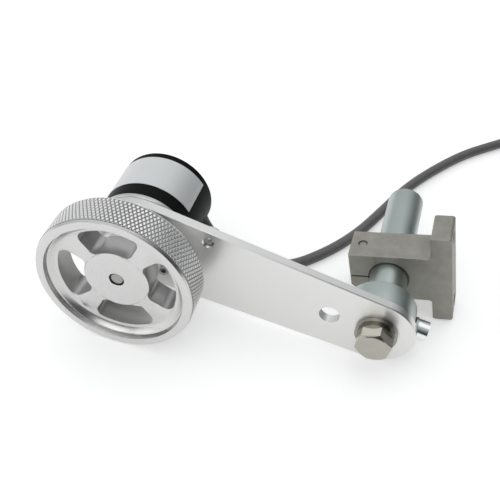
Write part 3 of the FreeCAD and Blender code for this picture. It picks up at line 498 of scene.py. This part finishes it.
def plain_steel(name, color, roughness=0.24, metallic=1.0):
    """Ground or drawn steel with fine scratches."""
    finish = Finish(name, color, roughness, metallic)
    where = finish.place(WHEEL_AXIS, ARM_SLOPE, (1, 6, 1))
    fine = finish.noise(where, 800.0, 3.0)
    finish.feed("Base Color", finish.mix(fine, shade(color, 0.9), shade(color, 1.06)))
    finish.feed("Roughness", fine * 0.16 + (roughness - 0.06))
    finish.bump(fine, 0.006 * MM)
    return finish.material


def graduated_glass(name):
    """Clear disc with a ring of fine dark lines near its edge."""
    finish = Finish(name, (0.80, 0.86, 0.86), 0.06, 0.0)
    x, _, z = finish.axes(finish.place(WHEEL_AXIS))
    radius = (x * x + z * z) ** 0.5
    angle = x.maths("ARCTAN2", z, x)
    lines = angle.maths("SINE", angle * TRACK_LINES).above(0.0)
    track = radius.above(TRACK_IN) * (1.0 - radius.above(TRACK_OUT))
    finish.feed("Base Color", finish.mix(track * lines, (0.80, 0.86, 0.86), (0.02, 0.02, 0.02)))
    finish.feed("Alpha", track * lines * 0.6 + 0.35)
    return finish.material


def faced_shaft(name, color):
    """Ground steel shaft whose machined end is dull, with painted shade on its chamfered edge."""
    finish = Finish(name, color, 0.3, 1.0)
    x, _, z = finish.axes(finish.place(WHEEL_AXIS))
    radius = (x * x + z * z) ** 0.5
    # Painted shade: a dark ring on the shaft's chamfered edge, beyond this radius.
    edge = radius.above(SHAFT_SHADE_R)
    finish.feed("Base Color", finish.mix(edge, color, shade(color, 0.12)))
    finish.feed("Roughness", edge * 0.2 + 0.3)
    return finish.material


def circuit_laminate(name):
    """Green board with pale traces."""
    finish = Finish(name, (0.02, 0.13, 0.05), 0.35)
    where = finish.place(WHEEL_AXIS)
    trace = finish.node("ShaderNodeTexVoronoi", {"distance": "CHEBYCHEV"},
                        {"Vector": where, "Scale": 420.0})
    lines = trace.above(0.52)
    finish.feed("Base Color", finish.mix(lines, (0.02, 0.13, 0.05), (0.10, 0.30, 0.12)))
    finish.bump(lines, 0.03 * MM)
    return finish.material


CAD_FINISHES = {
    "satin": ("arm_plate",),
    "flange": ("encoder_flange", "board_pillars", "code_disc_hub"),
    "zinc": ("pivot_post", "spring_housing", "anchor_washer"),
    "bright": ("anchor_screw",),
    "nickel": ("pivot_bolt",),
    "washers": ("lock_washer", "flat_washer"),
    "block": ("clamp_block", "clamp_screw"),
    "black": ("encoder_cover",),
    "label": ("encoder_label",),
    "rubber": ("cable_gland",),
    "steel": ("plate_screw", "encoder_screws", "cover_screws", "stop_pin",
              "wheel_set_screws", "front_bearing_outer", "rear_bearing_outer",
              "front_bearing_inner", "rear_bearing_inner", "front_bearing_balls",
              "rear_bearing_balls"),
    "shaft": ("encoder_shaft",),
    "spring": ("torsion_spring", "bearing_circlip"),
    "bronze": ("pivot_bush",),
    "glass": ("code_disc",),
    "board": ("sensor_board",),
    "plastic": ("light_source", "photo_sensor"),
    "jacket": ("signal_cable", "cable_coil"),
    "core": ("lead_wires",),
}


def make_finishes(colours, sizes):
    aluminium = tuple(colours.aluminium)
    return {
        "wheel": turned_aluminium("turned_aluminium", aluminium),
        "knurl": knurled_aluminium("knurled_aluminium", aluminium, sizes.wheel_radius,
                                   sizes.knurl_depth),
        "milled": plain_steel("milled_aluminium", shade(aluminium, 0.85), 0.36, 0.7),
        "satin": satin_aluminium("satin_aluminium", shade(aluminium, 1.14)),
        "flange": turned_aluminium("flange_aluminium", shade(aluminium, 0.9), 0.3),
        "zinc": zinc_plate("blue_zinc_plate", tuple(colours.zinc)),
        "nickel": nickel_plate("warm_nickel_plate", tuple(colours.nickel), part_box("pivot_bolt")[0].y),
        "bright": plain_steel("bright_zinc_screw", (0.80, 0.83, 0.84), 0.14),
        "washers": plain_steel("dark_nickel", shade(colours.nickel, 0.5), 0.22),
        "block": drawn_block("drawn_block", tuple(colours.block)),
        "black": black_paint("black_paint"),
        "label": silver_film("silver_film", tuple(colours.label)),
        "rubber": moulded("black_rubber", (0.013, 0.013, 0.013)),
        "steel": plain_steel("bright_steel", (0.60, 0.60, 0.59)),
        "shaft": faced_shaft("faced_shaft", (0.36, 0.36, 0.345)),
        "spring": plain_steel("spring_steel", (0.32, 0.31, 0.30), 0.3),
        "bronze": plain_steel("sintered_bronze", (0.55, 0.36, 0.18), 0.4),
        "glass": graduated_glass("graduated_glass"),
        "board": circuit_laminate("circuit_laminate"),
        "plastic": moulded("black_plastic", (0.02, 0.02, 0.02), 0.4),
        "jacket": cable_jacket("cable_jacket", tuple(colours.jacket)),
        "core": moulded("core_insulation", (0.35, 0.10, 0.05), 0.4, 0.004),
    }


def finish_named(key):
    """The material that the finishes' operator made under this key."""
    return bpy.data.materials[bpy.context.scene["finish_" + key]]


def dress(piece, key):
    """Gives a piece one finish."""
    piece.data.materials.clear()
    piece.data.materials.append(finish_named(key))


# Meshes


def place_matrix(axis_point, angle):
    """The arm's frame with its origin moved onto an axis: X along the arm, turned about Y."""
    turn = Matrix.Rotation(angle, 4, "Y")
    return Matrix.Translation((axis_point.x, ARM_FRAME_Y, axis_point.z)) @ turn


ON_WHEEL = place_matrix(WHEEL_AXIS, ARM_SLOPE)
ON_PIVOT = place_matrix(PIVOT_AXIS, ARM_SLOPE)


def quads(rows, columns, first, wrap):
    """The corner indices of every cell of a grid, whose rows may close on themselves."""
    index = np.arange(rows * columns).reshape(rows, columns) + first
    if wrap:
        index = np.concatenate([index, index[:1]])
    return np.stack([index[:-1, :-1], index[1:, :-1], index[1:, 1:], index[:-1, 1:]], -1)


def split_cells(cells):
    """Cuts each cell on the diagonal that a groove or flank of the knurl follows, by parity."""
    rows, columns = np.indices(cells.shape[:2])
    even = ((rows - columns) % 2 == 0)[..., None]
    a, b, c, d = (cells[..., i:i + 1] for i in range(4))
    one = np.where(even, np.concatenate([a, b, c], -1), np.concatenate([a, b, d], -1))
    two = np.where(even, np.concatenate([a, c, d], -1), np.concatenate([b, c, d], -1))
    return np.concatenate([one.reshape(-1, 3), two.reshape(-1, 3)])


def mesh_piece(name, grids, matrix, sharp=SHARP):
    """Joins grids of points (rows, columns, xyz) into one mesh, closed where they meet.

    Each grid comes with two switches: whether its rows close on themselves, and whether its
    cells are cut along the knurl's creases.
    """
    points, loops, totals, count = [], [], [], 0
    for grid, wrap, creased in grids:
        cells = quads(grid.shape[0], grid.shape[1], count, wrap)
        faces = split_cells(cells) if creased else cells.reshape(-1, 4)
        points.append(grid.reshape(-1, 3))
        loops.append(faces.ravel())
        totals.append(np.full(len(faces), faces.shape[1]))
        count += grid.shape[0] * grid.shape[1]
    placed = np.concatenate(points) @ np.array(matrix.to_3x3()).T + np.array(matrix.translation)
    corner, total = np.concatenate(loops), np.concatenate(totals)
    mesh = bpy.data.meshes.new(name)
    mesh.vertices.add(count)
    mesh.vertices.foreach_set("co", placed.ravel().astype(np.float32))
    mesh.loops.add(len(corner))
    mesh.loops.foreach_set("vertex_index", corner.astype(np.int32))
    mesh.polygons.add(len(total))
    mesh.polygons.foreach_set("loop_start", np.concatenate([[0], np.cumsum(total)[:-1]]).astype(np.int32))
    mesh.update(calc_edges=True)
    return closed_piece(name, mesh, sharp)


def closed_piece(name, mesh, sharp=SHARP):
    """Puts a mesh into the scene with its seams merged, its normals outward and its edges sharp."""
    work = bmesh.new()
    work.from_mesh(mesh)
    bmesh.ops.remove_doubles(work, verts=work.verts, dist=MERGE_GAP)
    bmesh.ops.recalc_face_normals(work, faces=work.faces)
    work.to_mesh(mesh)
    work.free()
    mesh.shade_smooth()
    mesh.set_sharp_from_angle(angle=math.radians(sharp))
    piece = bpy.data.objects.new(name, mesh)
    bpy.context.scene.collection.objects.link(piece)
    return piece


def lathe(profile, segments):
    """Profile points (radius, y) carried round the Y axis: x = r cos a, z = r sin a."""
    profile = np.asarray(profile, float)
    angle = np.linspace(0, 2 * np.pi, segments, endpoint=False)[:, None]
    return np.stack([profile[:, 0] * np.cos(angle),
                     np.broadcast_to(profile[:, 1], (segments, len(profile))),
                     profile[:, 0] * np.sin(angle)], -1)


def softened(profile, radius, steps=4):
    """Rounds each inner corner of a profile: two tangent points and a quadratic curve between."""
    points = np.asarray(profile, float)
    before, corner, after = points[:-2], points[1:-1], points[2:]
    back, ahead = before - corner, after - corner
    back_length = np.linalg.norm(back, axis=1, keepdims=True)
    ahead_length = np.linalg.norm(ahead, axis=1, keepdims=True)
    reach = np.minimum(radius, 0.45 * np.minimum(back_length, ahead_length))
    start = corner + back / back_length * reach
    end = corner + ahead / ahead_length * reach
    t = np.linspace(0, 1, steps + 1)[None, :, None]
    curve = (1 - t) ** 2 * start[:, None] + 2 * t * (1 - t) * corner[:, None] + t ** 2 * end[:, None]
    return np.concatenate([points[:1], curve.reshape(-1, 2), points[-1:]])


def ride_new(piece, body, key, slot, *nodes):
    """Finishes a new piece: its material, its body and the nodes it stands for, which are hidden; the slot is not
    used.
    """
    dress(piece, key)
    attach(piece, body)
    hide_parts(*nodes)


# Operators


class CounterCamera(bpy.types.Operator):
    """Place the camera where the photograph was taken from."""

    bl_idname = "counter.camera"
    bl_label = "Camera"

    def execute(self, context):
        level = math.cos(CAMERA_ELEVATION)
        forward = Vector((-math.sin(CAMERA_AZIMUTH) * level, math.cos(CAMERA_AZIMUTH) * level,
                          -math.sin(CAMERA_ELEVATION)))
        flat_right = forward.cross(Vector((0, 0, 1))).normalized()
        flat_up = flat_right.cross(forward)
        right = flat_right * math.cos(CAMERA_ROLL) + flat_up * math.sin(CAMERA_ROLL)
        up = flat_up * math.cos(CAMERA_ROLL) - flat_right * math.sin(CAMERA_ROLL)
        data = bpy.data.cameras.new("photo_view")
        data.lens = LENS
        data.sensor_width = SENSOR
        data.clip_start = 0.01
        data.clip_end = 20.0
        camera = bpy.data.objects.new("photo_view", data)
        turn = Matrix((right, up, -forward)).transposed().to_4x4()
        camera.matrix_world = Matrix.Translation(AIM - forward * CAMERA_DISTANCE) @ turn
        context.scene.collection.objects.link(camera)
        context.scene.camera = camera
        return {"FINISHED"}


class CounterFinishes(bpy.types.Operator):
    """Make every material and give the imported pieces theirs."""

    bl_idname = "counter.finishes"
    bl_label = "Finishes"

    def execute(self, context):
        made = make_finishes(context.scene.counter_colours, context.scene.counter_sizes)
        for key, material in made.items():
            context.scene["finish_" + key] = material.name
        for key, nodes in CAD_FINISHES.items():
            for node in nodes:
                dress(frame["nodes"][node], key)
        return {"FINISHED"}


def coil_point(turn):
    """Centre line of the coil after some turns: in on the table, up a layer, and out again."""
    climb_end = COIL_DOWN_TURNS + COIL_CLIMB_TURNS
    inner = COIL_OUT_R - COIL_PITCH * COIL_DOWN_TURNS
    share = np.clip((turn - COIL_DOWN_TURNS) / COIL_CLIMB_TURNS, 0, 1)
    dip = COIL_PITCH * COIL_CLIMB_TURNS * share * (share - 1)
    radius = np.where(turn < COIL_DOWN_TURNS, COIL_OUT_R - COIL_PITCH * turn,
                      inner + dip + COIL_PITCH * np.maximum(turn - climb_end, 0))
    angle = COIL_START - 2 * np.pi * turn
    height = COIL_LAYER * share ** 2 * (3 - 2 * share)
    return np.stack([COIL_CENTRE[0] + radius * np.cos(angle),
                     COIL_CENTRE[1] + radius * np.sin(angle), height], -1)


def cable_points(radius):
    """The cable's control points: gland, table, coil and the straight ends of the coil."""
    out = np.array([math.cos(GLAND_ANGLE), 0.0, math.sin(GLAND_ANGLE)])
    side = np.array([0.0, GLAND_Y, 0.0])
    leave, drop = (ON_WHEEL @ Vector(out * reach + side) for reach in (GLAND_END, GLAND_END + CABLE_DROP))
    turns = COIL_DOWN_TURNS + COIL_CLIMB_TURNS + COIL_UP_TURNS
    steps = int(round(turns * COIL_POINTS_PER_TURN))
    coil = coil_point(np.linspace(0.0, turns, steps + 1))
    coil[:, 2] += radius
    head_in = (coil[0] - coil[1]) / np.linalg.norm(coil[0] - coil[1])
    head_out = (coil[-1] - coil[-2]) / np.linalg.norm(coil[-1] - coil[-2])
    stub = 2 * radius
    table = np.array([(x, y, radius) for x, y in CABLE_TABLE_POINTS])
    lead_in = coil[0] + head_in * (stub + COIL_LEAD_IN)
    return np.concatenate([[leave, drop], table, [lead_in, coil[0] + head_in * stub], coil,
                           [coil[-1] + head_out * stub]])


class CounterCable(bpy.types.Operator):
    """Lay the signal cable from its gland over the table into its coil."""

    bl_idname = "counter.cable"
    bl_label = "Cable"

    def execute(self, context):
        sizes = context.scene.counter_sizes
        radius = sizes.cable_diameter / 2
        points = cable_points(radius)
        data = bpy.data.curves.new("signal_cable_jacket", "CURVE")
        data.dimensions = "3D"
        data.bevel_depth = radius
        data.bevel_resolution = 6
        data.use_fill_caps = True
        spline = data.splines.new("NURBS")
        spline.points.add(len(points) - 1)
        spline.points.foreach_set("co", np.c_[points, np.ones(len(points))].ravel())
        spline.order_u = 3
        spline.use_endpoint_u = True
        spline.resolution_u = 6
        cable = bpy.data.objects.new("signal_cable_jacket", data)
        context.scene.collection.objects.link(cable)
        ride_new(cable, "arm", "jacket", "cable_jacket", "signal_cable", "cable_coil")
        runs = np.linalg.norm(np.diff(points, axis=0), axis=1).sum()
        print("cable runs %.3f m" % runs)
        return {"FINISHED"}


class CounterWheel(bpy.types.Operator):
    """Model the measuring wheel with its diamond knurl and four windows."""

    bl_idname = "counter.wheel"
    bl_label = "Measuring wheel"

    def execute(self, context):
        sizes = context.scene.counter_sizes
        piece = mesh_piece("knurled_wheel", wheel_grids(sizes), ON_WHEEL, SHARP_ON_WHEEL)
        ride_new(piece, "wheel", "wheel", "wheel_aluminium", "measuring_wheel")
        piece.data.materials.append(finish_named("knurl"))
        piece.data.materials.append(finish_named("milled"))
        mark_finishes(piece, sizes)
        return {"FINISHED"}


def cove(steps=10):
    """From the web outwards: a flare that starts flat, then a steep wall to the ring's inner edge.

    The radius grows evenly with t and the depth falls with a power of t; a small ledge follows.
    """
    t = np.linspace(0, 1, steps)
    across, deep = COVE_R - WEB_OUT, WEB_FRONT - COVE_Y
    flare = np.stack([WEB_OUT + across * t, WEB_FRONT - deep * t ** COVE_POWER], -1)
    ledge = np.array([(COVE_R + COVE_LEDGE, COVE_Y - COVE_LEDGE / 2), (RECESS_R, WHEEL_FRONT)])
    return np.concatenate([flare, ledge])


def wheel_grids(sizes):
    """The wheel's surfaces: front and back profiles, knurled rim, web with windows, boss."""
    rim = sizes.wheel_radius - BEVEL_R
    root = sizes.wheel_radius - sizes.knurl_depth
    segments = KNURL_CELLS * sizes.knurl_count
    ring = np.array([(rim, WHEEL_FRONT), (root, KNURL_FRONT)])
    inner = cove()
    front = np.concatenate([inner[:-2], softened(np.concatenate([inner[-2:], ring]), EDGE_R, 3)])
    back = softened(np.array([
        (root, KNURL_BACK), (rim, WHEEL_BACK), (BACK_RECESS_R, WHEEL_BACK),
        (BACK_RECESS_R - BACK_RECESS_TAPER, WEB_BACK), (WEB_OUT, WEB_BACK)]), EDGE_R, 3)
    boss = softened(np.array([
        (WEB_IN, WEB_FRONT), (BORE_R + BORE_MOUTH, WEB_FRONT), (BORE_R, WEB_FRONT + BORE_MOUTH),
        (BORE_R, BOSS_END - BOSS_EDGE), (BORE_R + BOSS_EDGE, BOSS_END),
        (WEB_IN - BOSS_EDGE, BOSS_END), (WEB_IN, BOSS_END - BOSS_EDGE), (WEB_IN, WEB_BACK)]), EDGE_R, 3)
    grids = [(lathe(p, segments), True, False) for p in (front, back, boss)]
    grids.append((knurl_grid(sizes, root), True, True))
    cells = segments // WINDOW_COUNT
    grids += [(window_grid(i, cells), True, False) for i in range(WINDOW_COUNT)]
    return grids


def knurl_grid(sizes, root):
    """Diamond knurl on a cylinder.

    With u = s/a + t/b and v = s/a - t/b, the height is the lesser distance of u and v from a
    whole number, steep at the groove and nearly flat over the tip. s runs round, t across.
    """
    around = KNURL_CELLS * sizes.knurl_count
    width = (KNURL_BACK - KNURL_FRONT) * math.tan(sizes.knurl_angle)
    across = max(KNURL_CELLS, round(around * width / (2 * math.pi * sizes.wheel_radius)))
    i, j = np.meshgrid(np.arange(around), np.arange(across + 1), indexing="ij")
    u, v = (i + j) / KNURL_CELLS, (i - j) / KNURL_CELLS
    near = np.minimum(np.abs(u - np.round(u)), np.abs(v - np.round(v))) * 2
    height = np.interp(near, [0.0, KNURL_FLANK, 1.0], [0.0, KNURL_SHOULDER, 1.0])
    height[:, 0] = 0.0
    height[:, -1] = 0.0
    radius = root + height * sizes.knurl_depth
    angle = 2 * np.pi * i / around
    y = KNURL_FRONT + (KNURL_BACK - KNURL_FRONT) * j / across
    return np.stack([radius * np.cos(angle), y, radius * np.sin(angle)], -1)


def mark_finishes(piece, sizes):
    """Faces on the knurl take the second material, the milled walls of the windows the third."""
    mesh = piece.data
    centre = np.zeros(len(mesh.polygons) * 3)
    normal = np.zeros(len(mesh.polygons) * 3)
    mesh.polygons.foreach_get("center", centre)
    mesh.polygons.foreach_get("normal", normal)
    local = centre.reshape(-1, 3) - np.array(ON_WHEEL.translation)
    upright = np.abs(normal.reshape(-1, 3)[:, 1]) < WALL_TILT
    reach = np.hypot(local[:, 0], local[:, 2])
    root = sizes.wheel_radius - sizes.knurl_depth
    rim = (reach > root * RIM_SHARE) & (local[:, 1] > KNURL_FRONT) & (local[:, 1] < KNURL_BACK)
    milled = upright & (reach > WEB_IN) & (reach < WEB_OUT) & (local[:, 1] < WEB_BACK)
    mesh.polygons.foreach_set("material_index", (rim + 2 * milled).astype(np.int32))


def window_outline(grow, cells):
    """One window's edge in polar form, grown by a margin, with the same count as its cell.

    It starts at the middle of a corner, and runs over the outer side, one end, the inner
    side and the other end.
    """
    low, high = WINDOW_IN - grow, WINDOW_OUT + grow
    wide, tight = WINDOW_OUTER_CORNER + grow, WINDOW_INNER_CORNER + grow
    half = WINDOW_HALF + grow / ((low + high) / 2)
    eighth = np.pi / 4
    bend = np.linspace(0, eighth, CORNER_STEPS)

    def arc(first, centre_angle, centre_radius, corner):
        turn = first + bend
        return (centre_angle + corner * np.cos(turn) / centre_radius,
                centre_radius + corner * np.sin(turn))

    out_in, in_out = high - wide, low + tight
    a_out, a_in = half - wide / out_in, half - tight / in_out
    span = np.linspace(1, -1, cells + 3 - 2 * CORNER_STEPS)[1:-1]
    rise = np.linspace(0, 1, END_STEPS)
    top = [arc(eighth, a_out, out_in, wide), (span * a_out, np.full(len(span), high)),
           arc(2 * eighth, -a_out, out_in, wide)]
    left = [arc(3 * eighth, -a_out, out_in, wide),
            (-half + 0 * rise, out_in + (in_out - out_in) * rise),
            arc(4 * eighth, -a_in, in_out, tight)]
    bottom = [arc(5 * eighth, -a_in, in_out, tight), (-span * a_in, np.full(len(span), low)),
              arc(6 * eighth, a_in, in_out, tight)]
    right = [arc(7 * eighth, a_in, in_out, tight),
             (half + 0 * rise, in_out + (out_in - in_out) * rise),
             arc(8 * eighth, a_out, out_in, wide)]
    return [tuple(np.concatenate(part) for part in zip(*side)) for side in (top, left, bottom, right)]


def cell_outline(lengths):
    """The outer edge of one quarter of the web, with the same count on each side as the window."""
    half = np.pi / WINDOW_COUNT
    top, left, bottom, right = (np.linspace(0, 1, n) for n in lengths)
    return [
        (half - 2 * half * top, np.full(len(top), WEB_OUT)),
        (np.full(len(left), -half), WEB_OUT + (WEB_IN - WEB_OUT) * left),
        (-half + 2 * half * bottom, np.full(len(bottom), WEB_IN)),
        (np.full(len(right), half), WEB_IN + (WEB_OUT - WEB_IN) * right),
    ]


def window_grid(number, cells):
    """A quarter of the web: its front, the window's softened wall, and its back."""
    middle = WINDOW_BEVEL * BEVEL_MIDDLE
    tight, half, wide = (window_outline(grow, cells) for grow in (0.0, middle, WINDOW_BEVEL))
    outer = cell_outline([len(side[0]) for side in tight])
    depths = [
        (outer, WEB_FRONT), (wide, WEB_FRONT), (half, WEB_FRONT + middle),
        (tight, WEB_FRONT + WINDOW_BEVEL), (tight, WEB_BACK - WINDOW_BEVEL),
        (half, WEB_BACK - middle), (wide, WEB_BACK), (outer, WEB_BACK),
    ]
    centre = WINDOW_FIRST + number * 2 * np.pi / WINDOW_COUNT
    rings = []
    for sides, y in depths:
        angle = np.concatenate([side[0] for side in sides]) + centre
        radius = np.concatenate([side[1] for side in sides])
        rings.append(np.stack([radius * np.cos(angle), np.full(len(angle), y),
                               radius * np.sin(angle)], -1))
    return np.stack(rings, 1)


class CounterPivot(bpy.types.Operator):
    """Turn the post and the spring housing, and copy the spring as a smoothly shaded piece."""

    bl_idname = "counter.pivot"
    bl_label = "Post and spring housing"

    def execute(self, context):
        turned = (("turned_post", POST_PROFILE, POST_EDGE_R, 128, "pivot_post"),
                  ("turned_housing", HOUSING_PROFILE, HOUSING_EDGE_R, 160, "spring_housing"))
        for name, profile, edge, segments, node in turned:
            solid = lathe(softened(np.array(profile) * MM, edge), segments)
            piece = mesh_piece(name, [(solid, True, False)], ON_PIVOT)
            ride_new(piece, "pivot", "zinc", "zinc_steel", node)
        self.wind_spring()
        return {"FINISHED"}

    def wind_spring(self):
        """Copies the spring, whose legs sit in the arm and at the anchor screw, as a smoothly shaded piece with
        its finish, and hides the imported one.
        """
        source = frame["nodes"]["torsion_spring"]
        mesh = source.data.copy()
        mesh.transform(source.matrix_world)
        piece = closed_piece("wound_spring", mesh)
        dress(piece, "spring")
        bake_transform(piece)
        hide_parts("torsion_spring")


class CounterStage(bpy.types.Operator):
    """Lay a pale floor and set the soft studio light."""

    bl_idname = "counter.stage"
    bl_label = "Stage"

    def execute(self, context):
        mesh = bpy.data.meshes.new("floor")
        corners = [(x * FLOOR_HALF, y * FLOOR_HALF, 0) for x, y in ((-1, -1), (1, -1), (1, 1), (-1, 1))]
        mesh.from_pydata(corners, [], [(0, 1, 2, 3)])
        floor = bpy.data.objects.new("floor", mesh)
        floor.location.z = -FLOOR_GAP
        context.scene.collection.objects.link(floor)
        mesh.materials.append(floor_finish())
        for lamp in LAMPS:
            soft_lamp(*lamp)
        studio_world()
        context.scene.view_settings.view_transform = "Standard"
        return {"FINISHED"}


def soft_lamp(name, spot, size, power):
    """A square area lamp that faces the object."""
    data = bpy.data.lights.new(name, "AREA")
    data.size = size
    data.energy = power
    lamp = bpy.data.objects.new(name, data)
    aim = Vector(LAMP_AIM) - Vector(spot)
    lamp.matrix_world = Matrix.Translation(spot) @ aim.to_track_quat("-Z", "Y").to_matrix().to_4x4()
    bpy.context.scene.collection.objects.link(lamp)


def floor_finish():
    """White floor: lit and shadowed by the lamps, lifted to white where it is looked at."""
    finish = Finish("pale_floor", (0.86, 0.86, 0.86), 0.7)
    path = finish.tree.nodes.new("ShaderNodeLightPath")
    camera, glossy, through = (Wire(finish, path.outputs["Is %s Ray" % kind])
                               for kind in ("Camera", "Glossy", "Transmission"))
    seen = finish.node("ShaderNodeMath", {"operation": "MAXIMUM"}, (camera, glossy))
    seen = finish.node("ShaderNodeMath", {"operation": "MAXIMUM"}, (seen, through))
    finish.feed("Emission Color", (1.0, 1.0, 1.0))
    finish.feed("Emission Strength", seen * FLOOR_LIFT)
    return finish.material


def studio_world():
    """Soft surround: bright overhead and towards the left, dark at the right of the horizon."""
    world = bpy.data.worlds.new("studio")
    bpy.context.scene.world = world
    world.use_nodes = True
    tree = world.node_tree
    background = tree.nodes["Background"]
    place = tree.nodes.new("ShaderNodeTexCoord")
    lean = tree.nodes.new("ShaderNodeVectorMath")
    lean.operation = "DOT_PRODUCT"
    lean.inputs[1].default_value = WORLD_LEAN
    ramp = tree.nodes.new("ShaderNodeValToRGB")
    for element, (position, color) in zip(ramp.color_ramp.elements, WORLD_STOPS):
        element.position = position
        element.color = (*color, 1)
    for position, color in WORLD_STOPS[2:]:
        ramp.color_ramp.elements.new(position).color = (*color, 1)
    tree.links.new(place.outputs["Generated"], lean.inputs[0])
    tree.links.new(lean.outputs["Value"], ramp.inputs[0])
    path = tree.nodes.new("ShaderNodeLightPath")
    camera = tree.nodes.new("ShaderNodeMix")
    camera.data_type = "RGBA"
    tree.links.new(path.outputs["Is Camera Ray"], camera.inputs["Factor"])
    tree.links.new(ramp.outputs[0], camera.inputs[6])
    camera.inputs[7].default_value = (1, 1, 1, 1)
    tree.links.new(camera.outputs[2], background.inputs["Color"])
    background.inputs["Strength"].default_value = 1.0


class CounterPanel(bpy.types.Panel):
    """Buttons for the counter's pieces."""

    bl_idname = "VIEW3D_PT_counter"
    bl_label = "Cable length counter"
    bl_space_type = "VIEW_3D"
    bl_region_type = "UI"
    bl_category = "Counter"

    def draw(self, context):
        for settings in (context.scene.counter_sizes, context.scene.counter_colours):
            for name in settings.__annotations__:
                self.layout.prop(settings, name)
        for operator in OPERATORS:
            self.layout.operator(operator.bl_idname)


OPERATORS = (CounterCamera, CounterFinishes, CounterCable, CounterWheel, CounterPivot, CounterStage)
CLASSES = (CounterSizes, CounterColours, *OPERATORS, CounterPanel)


def register():
    for made in CLASSES:
        bpy.utils.register_class(made)
    bpy.types.Scene.counter_sizes = PointerProperty(type=CounterSizes)
    bpy.types.Scene.counter_colours = PointerProperty(type=CounterColours)


def unregister():
    del bpy.types.Scene.counter_colours
    del bpy.types.Scene.counter_sizes
    for made in reversed(CLASSES):
        bpy.utils.unregister_class(made)


def main():
    register()
    bpy.ops.counter.camera()
    bpy.ops.counter.finishes()
    bpy.ops.counter.cable()
    bpy.ops.counter.wheel()
    bpy.ops.counter.pivot()
    bpy.ops.counter.stage()


if __name__ == "__main__":
    main()
